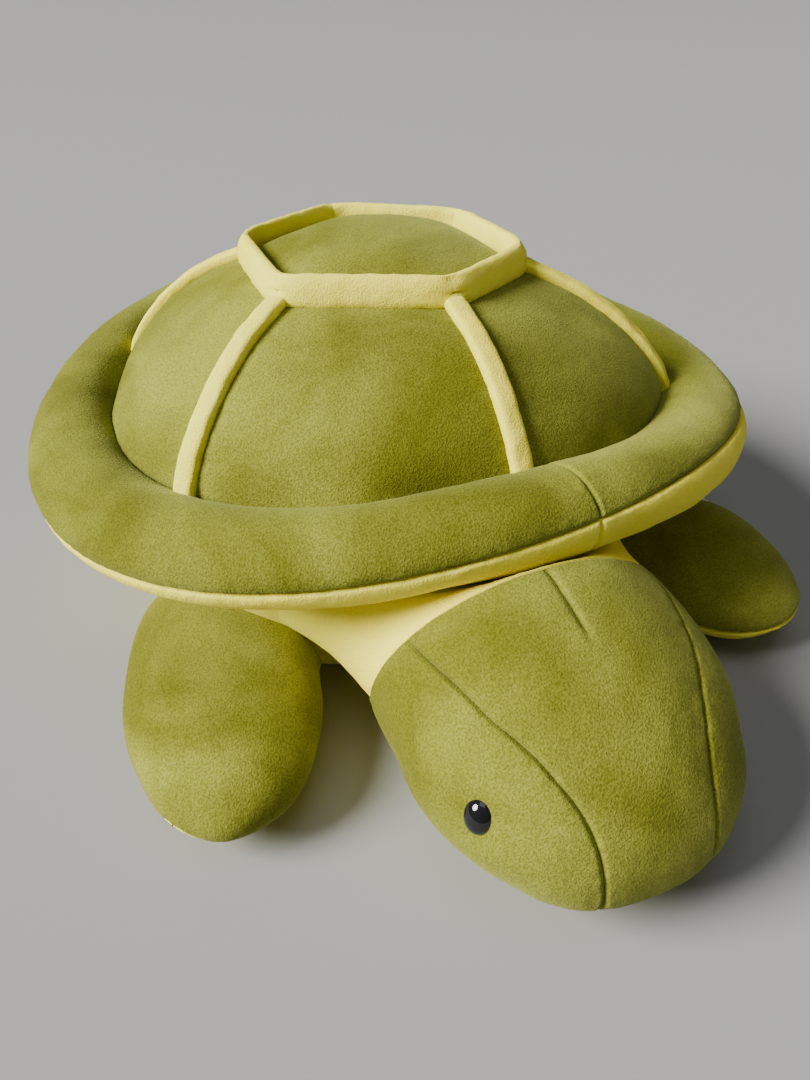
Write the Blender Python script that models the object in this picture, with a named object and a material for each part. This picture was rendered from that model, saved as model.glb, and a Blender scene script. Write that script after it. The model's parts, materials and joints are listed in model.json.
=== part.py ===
"""Plush turtle lying on its belly, sewn from soft covers over stuffing, in metres.

The turtle faces -Y and its own left side is at +X. The origin is on the floor
under the middle of the shell, and Z points up. Angles round the shell are
measured from the front towards the turtle's left.
"""

from math import cos, exp, pi, radians, sin, tau

import bmesh
import bpy
from mathutils import Matrix, Vector

for thing in list(bpy.data.objects):
    bpy.data.objects.remove(thing, do_unlink=True)

# Cloth and sewing
COVER = 0.002
GAP = 0.0003
WELD = 0.00001
CUT_OVERRUN = 0.06
CORNER_SHARE = 1.42
SMOOTH_ANGLE = radians(50)

# Shell plan, an egg that is wider towards the head
RIM_RADIUS = 0.174
EGG_SHARE = 0.15

# Rim roll, which arches up over the neck
RIM_HALF_WIDTH = 0.0245
RIM_HALF_HEIGHT = 0.0215
RIM_HEIGHT = 0.1135
RIM_FRONT_DROP = 0.011
RIM_ARCH = 0.0205
RIM_ARCH_SPREAD = radians(30)
RIM_SEAM_DROP = 0.0035
# The outer seam climbs round the front left, and the halves join left of the head
RIM_SEAM_CLIMB = 0.016
RIM_SEAM_CLIMB_TURN = radians(32)
RIM_SEAM_CLIMB_SPREAD = radians(28)
RIM_JOIN_TURN = radians(6.5)
RIM_SIDES = 8
RIM_STATIONS = 24

# Dome, from its crown to its foot on the deck inside the rim, with the angles of its
# seams at the collar and at the foot
RIB_ANGLES = tuple(radians(turn) for turn in (6, 57, 117, 180, 240, 303))
RIB_FOOT_ANGLES = tuple(radians(turn) for turn in (3, 55, 117, 180, 243, 308))
PANEL_STATIONS = 4
DOME_RADIUS = 0.154
DOME_TOP = 0.2075
DECK_HEIGHT = 0.118
DOME_FOOT = 0.1225
# Radius share, height share above the deck, and how hexagonal the ring is
DOME_SHARES = (
    (0.00, 1.000, 0.0),
    (0.20, 0.970, 0.2),
    (0.38, 0.885, 0.7),
    (0.53, 0.785, 1.0),
    (0.70, 0.665, 0.8),
    (0.86, 0.475, 0.4),
    (0.96, 0.270, 0.2),
    (1.00, 0.090, 0.0),
    (0.98, 0.000, 0.0),
)
DOME_SEAM_SHARE = 0.50

# Strips along the dome's seams, and the folded collar round its top panel
RIB_WIDTH = 0.011
RIB_RISE = 0.004
COLLAR_RADIUS = 0.0785
COLLAR_TOP = 0.2017
COLLAR_HEIGHT = 0.0165
COLLAR_HALF_THICKNESS = 0.0048
COLLAR_LEAN = 0.0045
COLLAR_SIDES = 8

# Body bowl under the shell, from the flat belly to the deck
BODY_RADIUS = 0.150
BELLY_SEAM_HEIGHT = 0.011
BODY_STATIONS = 24
BODY_SHARES = (
    (0.000, 0.000),
    (0.790, 0.000),
    (0.862, 0.085),
    (0.913, 0.237),
    (0.973, 0.466),
    (1.000, 0.680),
    (0.990, 0.850),
    (0.960, 1.000),
)

# Head, an egg cut off by the neck's sloping plane, which sits a little to the right
HEAD_ASIDE = -0.004
HEAD_BACK = 0.165
HEAD_WIDEST = 0.215
HEAD_NOSE = 0.305
HEAD_HALF_WIDTH = 0.078
HEAD_NARROWING = 0.004
HEAD_MIDDLE_HEIGHT = 0.057
HEAD_NOSE_HEIGHT = 0.033
HEAD_TOP_HEIGHT = 0.119
HEAD_UNDERSIDE = 0.004
HEAD_TUCK = 0.020
HEAD_FULLNESS_SHARE = 2.3
HEAD_SIDES = 16
HEAD_RINGS = 7
CHIN_SEAM_HEIGHT = 0.018
CHIN_SEAM_SLOPE = radians(9.6)
CROWN_SEAM_SHARES = (
    (0.00, 0.80),
    (0.24, 0.78),
    (0.56, 0.63),
    (0.78, 0.44),
    (0.90, 0.35),
    (1.10, 0.31),
)

# Neck, whose hinge line is where the crown tucks under the rim
NECK_FORWARD = 0.199
NECK_HEIGHT = 0.116
NECK_SLOPE = radians(13)
NECK_LIFT = radians(12)
NECK_HALF_WIDTH = 0.0755
NECK_HALF_HEIGHT = 0.0505
NECK_CENTRE_DROP = 0.0535
NECK_PLUG_INSET = 0.006
NECK_PLUG_SPARE = radians(2.5)
NECK_PLUG_SHARES = (1, 0.5, 0)
NECK_LENGTH = 0.075
NECK_SIDES = 14
RIM_CLEARANCE = 0.0015

# Eyes, each a low glossy dome on a shank held by a washer behind the cover
EYE_FORWARD = 0.2645
EYE_HEIGHT = 0.0617
EYE_HALF_WIDTH = 0.0058
EYE_HALF_HEIGHT = 0.0070
EYE_DOME = 0.0034
EYE_BACK_SHARE = 0.72
# Radius and height of the dome's rings
EYE_DOME_SHARES = ((1.00, 0.00), (0.82, 0.62), (0.42, 0.93), (0.00, 1.00))
EYE_SHANK_RADIUS = 0.0016
EYE_SHANK_LENGTH = 0.0075
EYE_SIDES = 12
WASHER_RADIUS = 0.0060
WASHER_THICKNESS = 0.0012
WASHER_DEPTH = 0.0029

# Flippers, sewn to the body along a straight root
FLIPPER_LENGTH = 0.103
FLIPPER_SPREAD = 0.117
FLIPPER_HALF_THICKNESS = 0.024
FLIPPER_ROOT_RADIUS = 0.0100
FLIPPER_HINGE_HEIGHT = 0.030
FLIPPER_DROOP = radians(2)
FLIPPER_SIDES = 10
# Share of the root radius that the leaf's flat end reaches, and how much narrower it is
ROOT_REACH_SHARE = 0.86
ROOT_THICKNESS_SHARE = 0.50
ROOT_WIDTH_SHARE = 0.90
# Share of the root radius by which a twist moves the hinge off the wall
TWIST_SPARE_SHARE = 0.80
# Distance from the root, rear edge, front edge and thickness
FLIPPER_SHARES = (
    (0.00, -0.50, 0.47, 0.44),
    (0.16, -0.46, 0.58, 0.76),
    (0.40, -0.33, 0.69, 0.98),
    (0.64, -0.15, 0.74, 0.95),
    (0.83, 0.05, 0.69, 0.68),
    (0.95, 0.24, 0.60, 0.36),
    (1.00, 0.43, 0.43, 0.00),
)
FRONT_LEFT_TURN = radians(55.5)
FRONT_RIGHT_TURN = radians(-50.5)
FRONT_LEFT_LIFT = radians(7)
FRONT_LEFT_TWIST = radians(8)
REAR_TURN = radians(132)
REAR_SIZE_SHARE = 0.80

# Tail
TAIL_LENGTH = 0.046
TAIL_SPREAD = 0.040
TAIL_HALF_THICKNESS = 0.012
TAIL_ROOT_RADIUS = 0.0080
TAIL_HINGE_HEIGHT = 0.034
TAIL_SHARES = (
    (0.00, -0.50, 0.50, 0.66),
    (0.25, -0.52, 0.52, 1.00),
    (0.55, -0.40, 0.40, 0.88),
    (0.82, -0.22, 0.22, 0.55),
    (1.00, 0.00, 0.00, 0.00),
)

# Colours
GREEN = (0.235, 0.250, 0.036, 1)
YELLOW = (0.800, 0.690, 0.260, 1)
WHITE = (0.850, 0.840, 0.800, 1)
BLACK = (0.008, 0.008, 0.009, 1)
NATURAL = (0.700, 0.690, 0.650, 1)


def finish(name, colour, roughness):
    """A surface finish of one colour."""
    look = bpy.data.materials.new(name)
    look.use_nodes = True
    shader = look.node_tree.nodes["Principled BSDF"]
    shader.inputs["Base Color"].default_value = colour
    shader.inputs["Roughness"].default_value = roughness
    shader.inputs["Metallic"].default_value = 0
    return look


GREEN_PLUSH = finish("green_plush", GREEN, 0.95)
YELLOW_PLUSH = finish("yellow_plush", YELLOW, 0.95)
STUFFING = finish("stuffing", WHITE, 1.0)
EYE_PLASTIC = finish("eye_plastic", BLACK, 0.08)
WASHER_PLASTIC = finish("washer_plastic", NATURAL, 0.45)


# Modelling helpers


def skin(rings):
    """A closed surface through rings of points, with its open ends filled flat.

    It is made of triangles, so that forms inset from it by unlike depths never cross.
    """
    bm = bmesh.new()
    around = len(rings[0])
    steps = len(rings) - 1
    bmesh.ops.create_grid(bm, x_segments=around, y_segments=steps, size=1)
    for vert in bm.verts:
        column = round((vert.co.x + 1) / 2 * around) % around
        row = round((vert.co.y + 1) / 2 * steps)
        vert.co = rings[row][column]
    bmesh.ops.remove_doubles(bm, verts=bm.verts, dist=WELD)
    bmesh.ops.holes_fill(bm, edges=bm.edges, sides=0)
    bmesh.ops.recalc_face_normals(bm, faces=bm.faces)
    bmesh.ops.triangulate(bm, faces=bm.faces)
    return bm


def inset(bm, depth):
    """The same form with its surface moved in by a depth, or out if it is negative."""
    bm.normal_update()
    moves = [
        vert.normal * min(vert.calc_shell_factor(), CORNER_SHARE) * depth for vert in bm.verts
    ]
    for vert, move in zip(bm.verts, moves):
        vert.co -= move
    return bm


def prism(outline, low, high):
    """A flat outline raised from one height to another."""
    bm = bmesh.new()
    face = bm.faces.new([bm.verts.new((x, y, low)) for x, y in outline])
    raised = bmesh.ops.extrude_face_region(bm, geom=[face])["geom"]
    tops = [item for item in raised if isinstance(item, bmesh.types.BMVert)]
    bmesh.ops.translate(bm, verts=tops, vec=(0, 0, high - low))
    bmesh.ops.recalc_face_normals(bm, faces=bm.faces)
    return bm


def block(low, high):
    """A box between two corners."""
    outline = ((low[0], low[1]), (high[0], low[1]), (high[0], high[1]), (low[0], high[1]))
    return prism(outline, low[2], high[2])


def place(name, bm, look=None, parent=None):
    """Make a form an object; one without a look is a hidden cutter."""
    mesh = bpy.data.meshes.new(name)
    bm.to_mesh(mesh)
    bm.free()
    mesh.shade_smooth()
    mesh.set_sharp_from_angle(angle=SMOOTH_ANGLE)
    piece = bpy.data.objects.new(name, mesh)
    bpy.context.scene.collection.objects.link(piece)
    piece.parent = parent
    if look:
        mesh.materials.append(look)
    else:
        piece.hide_render = True
        piece.display_type = "WIRE"
    return piece


def trim(piece, cutter, operation="DIFFERENCE"):
    """Cut a piece by another form. The exact solver loses pieces along the ring-shaped roll."""
    cut = piece.modifiers.new(cutter.name, "BOOLEAN")
    cut.operation = operation
    cut.object = cutter
    cut.solver = "MANIFOLD" if cutter.name.startswith("rim_") else "EXACT"


def cover(name, form, look, regions, cutters=(), parent=None, rise=0, core=None):
    """A sewn panel: the skin of a form, kept inside its regions and cut by its neighbours.

    The skin lies over the form, raised by its rise, or over a plainer core inside it.
    """
    piece = place(name, inset(form(), -rise), look, parent)
    for region in regions:
        trim(piece, region, "INTERSECT")
    trim(piece, place(name + "_inside", inset((core or form)(), COVER), parent=parent))
    for cutter in cutters:
        trim(piece, cutter)
    return piece


def stuffing(name, form, cutters=(), parent=None):
    """The filling of a form, just clear of its cover."""
    piece = place(name, inset(form(), COVER + GAP), STUFFING, parent)
    for cutter in cutters:
        trim(piece, cutter)
    return piece


def ellipse(half_width, half_height, sides):
    """Points of an ellipse, anticlockwise."""
    turns = [tau * side / sides for side in range(sides)]
    return [(half_width * cos(turn), half_height * sin(turn)) for turn in turns]


# Shell plan


def plan(turn, radius, height):
    """A point at an angle from the front and a distance from the shell's middle."""
    forward = radius * cos(turn)
    across = radius * sin(turn) * (1 + EGG_SHARE * forward / RIM_RADIUS)
    return Vector((across, -forward, height))


def stations(count):
    return [tau * station / count for station in range(count)]


def panel_stations(angles):
    """Angles that divide each dome panel evenly, each with how far a straight side between
    its ribs would lie inside the circle through them."""
    turns = []
    for start, end in zip(angles, angles[1:] + (angles[0] + tau,)):
        for step in range(PANEL_STATIONS):
            turn = start + (end - start) * step / PANEL_STATIONS
            turns.append((turn, cos((end - start) / 2) / cos(turn - (start + end) / 2)))
    return turns


# Rim roll


def rim_height(turn):
    """Height of the roll's centre line: it drops to the front and arches over the neck."""
    off_front = (turn + pi) % tau - pi
    arch = RIM_ARCH * exp(-((off_front / RIM_ARCH_SPREAD) ** 2) / 2)
    return RIM_HEIGHT - RIM_FRONT_DROP * cos(turn) + arch


def rim_ring(turn, section):
    return [plan(turn, RIM_RADIUS + out, rim_height(turn) + up) for out, up in section]


def rim_form():
    section = ellipse(RIM_HALF_WIDTH, RIM_HALF_HEIGHT, RIM_SIDES)
    turns = stations(RIM_STATIONS)
    return skin([rim_ring(turn, section) for turn in turns + turns[:1]])


def rim_half(above):
    """A closed band round the roll, above its two seams or below them."""
    reach = RIM_HALF_WIDTH * 2
    far = RIM_HALF_HEIGHT * 2
    rings = []
    for turn in stations(RIM_STATIONS):
        off = (turn - RIM_SEAM_CLIMB_TURN + pi) % tau - pi
        climb = RIM_SEAM_CLIMB * exp(-((off / RIM_SEAM_CLIMB_SPREAD) ** 2) / 2)
        gap = GAP / 2 if above else -GAP / 2
        inner = gap - RIM_SEAM_DROP - climb / 2
        outer = gap - RIM_SEAM_DROP + climb * 3 / 2
        end = far if above else -far
        rings.append(rim_ring(turn, ((-reach, inner), (reach, outer), (reach, end), (-reach, end))))
    return skin(rings + rings[:1])


rim_space = place("rim_space", inset(rim_form(), -GAP))
rim_far = RIM_RADIUS + RIM_HALF_WIDTH + CUT_OVERRUN
rim_bands = {
    "upper": (place("rim_upper_band", rim_half(True)), GREEN_PLUSH),
    "lower": (place("rim_lower_band", rim_half(False)), YELLOW_PLUSH),
}
whole_height = DOME_TOP + CUT_OVERRUN
halves = {}
for side, near, far in (("left", GAP / 2, rim_far), ("right", -rim_far, -GAP / 2)):
    low_corner = (near, -rim_far, -CUT_OVERRUN)
    high_corner = (far, rim_far, whole_height)
    halves[side] = place(side + "_half", block(low_corner, high_corner))
    rim_side = place(side + "_rim_half", block(low_corner, high_corner))
    rim_side.matrix_world = Matrix.Rotation(RIM_JOIN_TURN, 4, "Z")
    for band, (region, look) in rim_bands.items():
        cover("rim_" + band + "_" + side, rim_form, look, (region, rim_side))
stuffing("rim_stuffing", rim_form)


# Dome, its seam strips and its collar

seam_radius = DOME_RADIUS * DOME_SEAM_SHARE


def dome_ring(radius, height, hexagonal):
    """A ring that is a circle, a hexagon with its corners on the ribs, or between them."""
    down = max(0, (radius - seam_radius) / (DOME_RADIUS - seam_radius))
    angles = tuple(
        top + (foot - top) * down for top, foot in zip(RIB_ANGLES, RIB_FOOT_ANGLES)
    )
    return [
        plan(turn, radius * (1 - hexagonal * (1 - straight)), height)
        for turn, straight in panel_stations(angles)
    ]


def dome_form():
    rise = DOME_TOP - DECK_HEIGHT
    return skin(
        [
            dome_ring(DOME_RADIUS * out, DECK_HEIGHT + rise * up, hexagonal)
            for out, up, hexagonal in DOME_SHARES
        ]
    )


def rib_line(rib, offset, start):
    """Two plan points of a line beside a rib, from a radius out past the rim."""
    seam = plan(RIB_ANGLES[rib], seam_radius, 0)
    foot = plan(RIB_FOOT_ANGLES[rib], DOME_RADIUS, 0)
    near = seam.lerp(foot, (start - seam_radius) / (DOME_RADIUS - seam_radius))
    far = seam.lerp(foot, (rim_far - seam_radius) / (DOME_RADIUS - seam_radius))
    side = Vector((0, 0, 1)).cross(foot - seam).normalized() * offset
    return (near + side).xy, (far + side).xy


def hexagon(radius):
    return [plan(turn, radius, 0).xy for turn in RIB_ANGLES]


top_region = place("top_region", prism(hexagon(seam_radius - GAP), DOME_FOOT, whole_height))
cover("shell_top_panel", dome_form, GREEN_PLUSH, (top_region,))
half_rib = RIB_WIDTH / 2 + GAP
for number, start in enumerate(RIB_ANGLES, 1):
    after = number % len(RIB_ANGLES)
    end = RIB_ANGLES[after]
    near_start, far_start = rib_line(number - 1, half_rib, seam_radius + GAP)
    near_end, far_end = rib_line(after, -half_rib, seam_radius + GAP)
    middle = (start + end + (tau if end < start else 0)) / 2
    beyond = plan(middle, rim_far * 2, 0).xy
    outline = (near_start, far_start, beyond, far_end, near_end)
    region = place(f"panel_region_{number}", prism(outline, DOME_FOOT, whole_height))
    cover(f"shell_side_panel_{number}", dome_form, GREEN_PLUSH, (region,), (rim_space,))
stuffing("shell_stuffing", dome_form, (rim_space,))

collar_foot = COLLAR_RADIUS + COLLAR_HALF_THICKNESS + COLLAR_LEAN
for number in range(1, len(RIB_ANGLES) + 1):
    near_left, far_left = rib_line(number - 1, RIB_WIDTH / 2, collar_foot + GAP * 2)
    near_right, far_right = rib_line(number - 1, -RIB_WIDTH / 2, collar_foot + GAP * 2)
    outline = (near_left, near_right, far_right, far_left)
    region = place(f"rib_region_{number}", prism(outline, DOME_FOOT, whole_height))
    cover(f"rib_strip_{number}", dome_form, YELLOW_PLUSH, (region,), (rim_space,), rise=RIB_RISE)

dome_space = place("dome_space", inset(dome_form(), -GAP))


def collar_end(turn, ahead):
    """A collar strip's section at a corner, just short of the mitre."""
    points = []
    for out, up in ellipse(COLLAR_HALF_THICKNESS, COLLAR_HEIGHT / 2, COLLAR_SIDES):
        height = COLLAR_TOP - COLLAR_HEIGHT / 2 + up
        lean = COLLAR_LEAN * (COLLAR_TOP - height) / COLLAR_HEIGHT
        points.append(plan(turn, COLLAR_RADIUS + out + lean, height) + ahead)
    return points


for number, start in enumerate(RIB_ANGLES, 1):
    end = RIB_ANGLES[number % len(RIB_ANGLES)]
    along = (plan(end, COLLAR_RADIUS, 0) - plan(start, COLLAR_RADIUS, 0)).normalized() * GAP
    strip = place(
        f"collar_strip_{number}",
        skin([collar_end(start, along), collar_end(end, -along)]),
        YELLOW_PLUSH,
    )
    trim(strip, dome_space)


# Body bowl


def body_radius(height):
    """Radius of the bowl's wall at a height between the belly and the deck."""
    share = height / (DECK_HEIGHT - GAP)
    for (out, up), (next_out, next_up) in zip(BODY_SHARES, BODY_SHARES[1:]):
        if up < next_up and share <= next_up:
            return BODY_RADIUS * (out + (next_out - out) * (share - up) / (next_up - up))
    return BODY_RADIUS * BODY_SHARES[-1][0]


def body_wall(turn, height):
    """A point on the wall, which is flat between its stations."""
    half = pi / BODY_STATIONS
    flat = cos(half) / cos(turn % (half * 2) - half)
    return plan(turn, body_radius(height) * flat, height)


def body_form():
    top = DECK_HEIGHT - GAP
    return skin(
        [
            [plan(turn, BODY_RADIUS * out, top * up) for turn in stations(BODY_STATIONS)]
            for out, up in BODY_SHARES
        ]
    )


body_space = place("body_space", inset(body_form(), -GAP))
above_belly = place(
    "above_belly",
    block(
        (-rim_far, -rim_far, BELLY_SEAM_HEIGHT + GAP / 2),
        (rim_far, rim_far, DECK_HEIGHT - COVER - GAP),
    ),
)
belly_region = place(
    "belly_region",
    block((-rim_far, -rim_far, -CUT_OVERRUN), (rim_far, rim_far, BELLY_SEAM_HEIGHT - GAP / 2)),
)
for side, half in halves.items():
    cover("body_wall_" + side, body_form, YELLOW_PLUSH, (above_belly, half), (rim_space,))
cover("belly_panel", body_form, YELLOW_PLUSH, (belly_region,))
stuffing("body_stuffing", body_form, (rim_space,))


# Neck sleeve, with a plug that the head slides round as it lifts

neck_hinge = Vector((HEAD_ASIDE, -NECK_FORWARD, NECK_HEIGHT))
neck_frame = Matrix.Translation(neck_hinge) @ Matrix.Rotation(NECK_SLOPE, 4, "X")


def neck_ring(shrink, back, sweep=0):
    """A ring of the neck, in its sloping plane or swept about the hinge into the head."""
    turned = neck_frame @ Matrix.Rotation(-sweep, 4, "X")
    ring = ellipse(NECK_HALF_WIDTH - shrink, NECK_HALF_HEIGHT - shrink, NECK_SIDES)
    return [turned @ Vector((across, back, up - NECK_CENTRE_DROP)) for across, up in ring]


plug_sweep = NECK_LIFT + NECK_PLUG_SPARE


def neck_sleeve_rings():
    return [
        neck_ring(0, GAP),
        neck_ring(-COVER, NECK_LENGTH / 3),
        neck_ring(-COVER, NECK_LENGTH),
    ]


def neck_core():
    return skin(neck_sleeve_rings())


def neck_form():
    plug = [neck_ring(NECK_PLUG_INSET, GAP, plug_sweep * share) for share in NECK_PLUG_SHARES]
    return skin(plug + neck_sleeve_rings())


shell_cuts = (body_space, rim_space, dome_space)
cover("neck_sleeve", neck_form, YELLOW_PLUSH, (), shell_cuts, core=neck_core)
stuffing("neck_stuffing", neck_core, shell_cuts)


# Head


def head_section(forward):
    """Half width, rise and drop from the centre, and centre height, at a distance forward."""
    reach = (forward - HEAD_BACK) / (HEAD_NOSE - HEAD_BACK)
    past = max(0, (forward - HEAD_WIDEST) / (HEAD_NOSE - HEAD_WIDEST))
    before = max(0, (HEAD_WIDEST - forward) / (HEAD_WIDEST - HEAD_BACK))
    power = HEAD_FULLNESS_SHARE
    round_off = max(0, 1 - past**power) ** (1 / power)
    slope_off = max(0, 1 - reach**power) ** (1 / power)
    centre = HEAD_MIDDLE_HEIGHT + (HEAD_NOSE_HEIGHT - HEAD_MIDDLE_HEIGHT) * reach**2
    half_width = HEAD_HALF_WIDTH * round_off - HEAD_NARROWING * before**2
    rise = (HEAD_TOP_HEIGHT - HEAD_MIDDLE_HEIGHT) * slope_off
    drop = (centre - HEAD_UNDERSIDE) * round_off - HEAD_TUCK * before**2
    return half_width, rise, drop, centre


def head_point(turn, forward):
    half_width, rise, drop, centre = head_section(forward)
    tall = rise if sin(turn) > 0 else drop
    return Vector((HEAD_ASIDE + half_width * cos(turn), -forward, centre + tall * sin(turn)))


def head_form():
    rings = []
    for step in range(HEAD_RINGS + 1):
        forward = HEAD_BACK + (HEAD_NOSE - HEAD_BACK) * sin(pi / 2 * step / HEAD_RINGS)
        rings.append([head_point(turn, forward) for turn in stations(HEAD_SIDES)])
    return skin(rings)


def crown_outline(spare):
    """The crown's plan, between the seams over the two sides of the head."""
    length = HEAD_NOSE - HEAD_BACK
    left = [
        (HEAD_HALF_WIDTH * out + spare, -HEAD_BACK - length * along)
        for along, out in CROWN_SEAM_SHARES
    ]
    both = left + [(-x, y) for x, y in reversed(left)]
    return [(HEAD_ASIDE + x, y) for x, y in both]


head_pivot = bpy.data.objects.new("head_pivot", None)
head_pivot.location = neck_hinge
bpy.context.scene.collection.objects.link(head_pivot)
to_head = Matrix.Translation(-neck_hinge)


def at_pivot(bm):
    """Place a form of the head from its pivot."""
    bmesh.ops.transform(bm, matrix=to_head, verts=bm.verts)
    return bm


def head_cutter(name, bm):
    return place(name, at_pivot(bm), parent=head_pivot)


def pivot_head_form():
    return at_pivot(head_form())


back_block = block((-rim_far, 0, -rim_far), (rim_far, rim_far, rim_far))
bmesh.ops.transform(back_block, matrix=neck_frame, verts=back_block.verts)
behind_neck = head_cutter("behind_neck", back_block)
rim_clear = head_cutter("rim_clear", inset(rim_form(), -RIM_CLEARANCE))
neck_clear = head_cutter("neck_clear", inset(neck_form(), -GAP))
chin_frame = Matrix.Translation((0, -HEAD_NOSE, CHIN_SEAM_HEIGHT)) @ Matrix.Rotation(
    CHIN_SEAM_SLOPE, 4, "X"
)
chin_regions = {}
for name, low, high in (
    ("above_chin", GAP / 2, whole_height),
    ("below_chin", -whole_height, -GAP / 2),
):
    region = block((-rim_far, -CUT_OVERRUN, low), (rim_far, rim_far, high))
    bmesh.ops.transform(region, matrix=chin_frame, verts=region.verts)
    chin_regions[name] = head_cutter(name, region)
above_chin = chin_regions["above_chin"]
below_chin = chin_regions["below_chin"]
crown_region = head_cutter(
    "crown_region", prism(crown_outline(-GAP / 2), -CUT_OVERRUN, whole_height)
)
crown_hole = head_cutter("crown_hole", prism(crown_outline(GAP / 2), -CUT_OVERRUN, whole_height))
head_halves = {
    "left": head_cutter(
        "head_left_half",
        block((HEAD_ASIDE + GAP / 2, -rim_far * 2, -CUT_OVERRUN), (rim_far, 0, whole_height)),
    ),
    "right": head_cutter(
        "head_right_half",
        block((-rim_far, -rim_far * 2, -CUT_OVERRUN), (HEAD_ASIDE - GAP / 2, 0, whole_height)),
    ),
}
head_cuts = (behind_neck, rim_clear)


# Eyes


def eye_frame(side):
    """Where an eye's shank leaves the head, with Z along the shank and Y up the head."""
    half_width, rise, drop, centre = head_section(EYE_FORWARD)
    tall = rise if EYE_HEIGHT > centre else drop
    up = (EYE_HEIGHT - centre) / tall
    across = half_width * (1 - up**2) ** 0.5
    ahead_width, ahead_rise, ahead_drop, ahead_centre = head_section(EYE_FORWARD + COVER)
    ahead_tall = ahead_rise if EYE_HEIGHT > ahead_centre else ahead_drop
    ahead_up = (EYE_HEIGHT - ahead_centre) / ahead_tall
    ahead_across = ahead_width * (1 - ahead_up**2) ** 0.5
    slope = (across - ahead_across) / COVER
    outward = Vector((side, -slope, up * half_width / tall)).normalized()
    along = Vector((0, 0, 1)).cross(outward).normalized()
    frame = Matrix((along, outward.cross(along), outward)).transposed().to_4x4()
    here = Vector((HEAD_ASIDE + side * across, -EYE_FORWARD, EYE_HEIGHT))
    return Matrix.Translation(here - neck_hinge) @ frame


def turned(rows, flatten=1):
    """A form turned about Z from radius and height pairs."""
    rings = []
    for radius, height in rows:
        ring = ellipse(radius, radius, EYE_SIDES)
        rings.append([Vector((x * flatten, y, height)) for x, y in ring])
    return skin(rings)


def barrel(radius, low, high, flatten=1):
    """A closed cylinder about Z between two heights."""
    return turned(((0, low), (radius, low), (radius, high), (0, high)), flatten)


def on_eye(name, bm, frame, look=None):
    """Place a form in an eye's frame."""
    piece = place(name, bm, look, head_pivot)
    piece.matrix_local = frame
    return piece


def eye_dome():
    """The eye's glossy face, from the back that lies in the cover's hole."""
    back = ((0, -COVER - GAP), (EYE_HALF_HEIGHT * EYE_BACK_SHARE, -COVER - GAP))
    face = tuple((EYE_HALF_HEIGHT * out, EYE_DOME * up) for out, up in EYE_DOME_SHARES)
    return turned(back + face, EYE_HALF_WIDTH / EYE_HALF_HEIGHT)


cover_holes = {}
eye_pockets = []
for side, sign in (("left", 1), ("right", -1)):
    frame = eye_frame(sign)
    shank_end = -COVER - EYE_SHANK_LENGTH
    washer_back = -WASHER_DEPTH - COVER - WASHER_THICKNESS
    eye = on_eye("eye_" + side, eye_dome(), frame, EYE_PLASTIC)
    shank = barrel(EYE_SHANK_RADIUS, shank_end, -GAP)
    trim(eye, on_eye("eye_shank_" + side, shank, frame), "UNION")
    washer = on_eye(
        "eye_washer_" + side,
        barrel(WASHER_RADIUS, washer_back, washer_back + WASHER_THICKNESS),
        frame,
        WASHER_PLASTIC,
    )
    bore = barrel(EYE_SHANK_RADIUS + GAP, shank_end, CUT_OVERRUN)
    trim(washer, on_eye("washer_bore_" + side, bore, frame))
    hole = barrel(EYE_HALF_HEIGHT + GAP, washer_back, CUT_OVERRUN)
    cover_holes[side] = on_eye("eye_hole_" + side, hole, frame)
    pocket = barrel(EYE_HALF_HEIGHT + GAP, shank_end - GAP, CUT_OVERRUN)
    eye_pockets.append(on_eye("eye_pocket_" + side, pocket, frame))

cover("head_crown", pivot_head_form, GREEN_PLUSH, (crown_region, above_chin), head_cuts, head_pivot)
for side, half in head_halves.items():
    cuts = head_cuts + (crown_hole, cover_holes[side])
    cover("head_side_" + side, pivot_head_form, GREEN_PLUSH, (above_chin, half), cuts, head_pivot)
cover("head_chin", pivot_head_form, YELLOW_PLUSH, (below_chin,), head_cuts, head_pivot)
head_inner_cuts = head_cuts + (neck_clear,) + tuple(eye_pockets)
stuffing("head_stuffing", pivot_head_form, head_inner_cuts, head_pivot)


# Flippers and tail


def leaf_form(length, spread, half_thickness, root_radius, sections, mirror):
    """A padded leaf from its rounded root at the hinge line to its tip, along X."""
    root = (
        -root_radius * ROOT_REACH_SHARE / length,
        sections[0][1] * ROOT_WIDTH_SHARE,
        sections[0][2] * ROOT_WIDTH_SHARE,
        root_radius * ROOT_THICKNESS_SHARE / half_thickness,
    )
    rows = (root,) + sections
    rings = []
    for out, rear, front, thick in rows:
        middle = spread * (rear + front) / 2 * mirror
        half = spread * (front - rear) / 2
        tall = half_thickness * thick
        ring = ellipse(half, tall, FLIPPER_SIDES)
        rings.append([Vector((length * out, middle + across, up)) for across, up in ring])
    return skin(rings)


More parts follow.
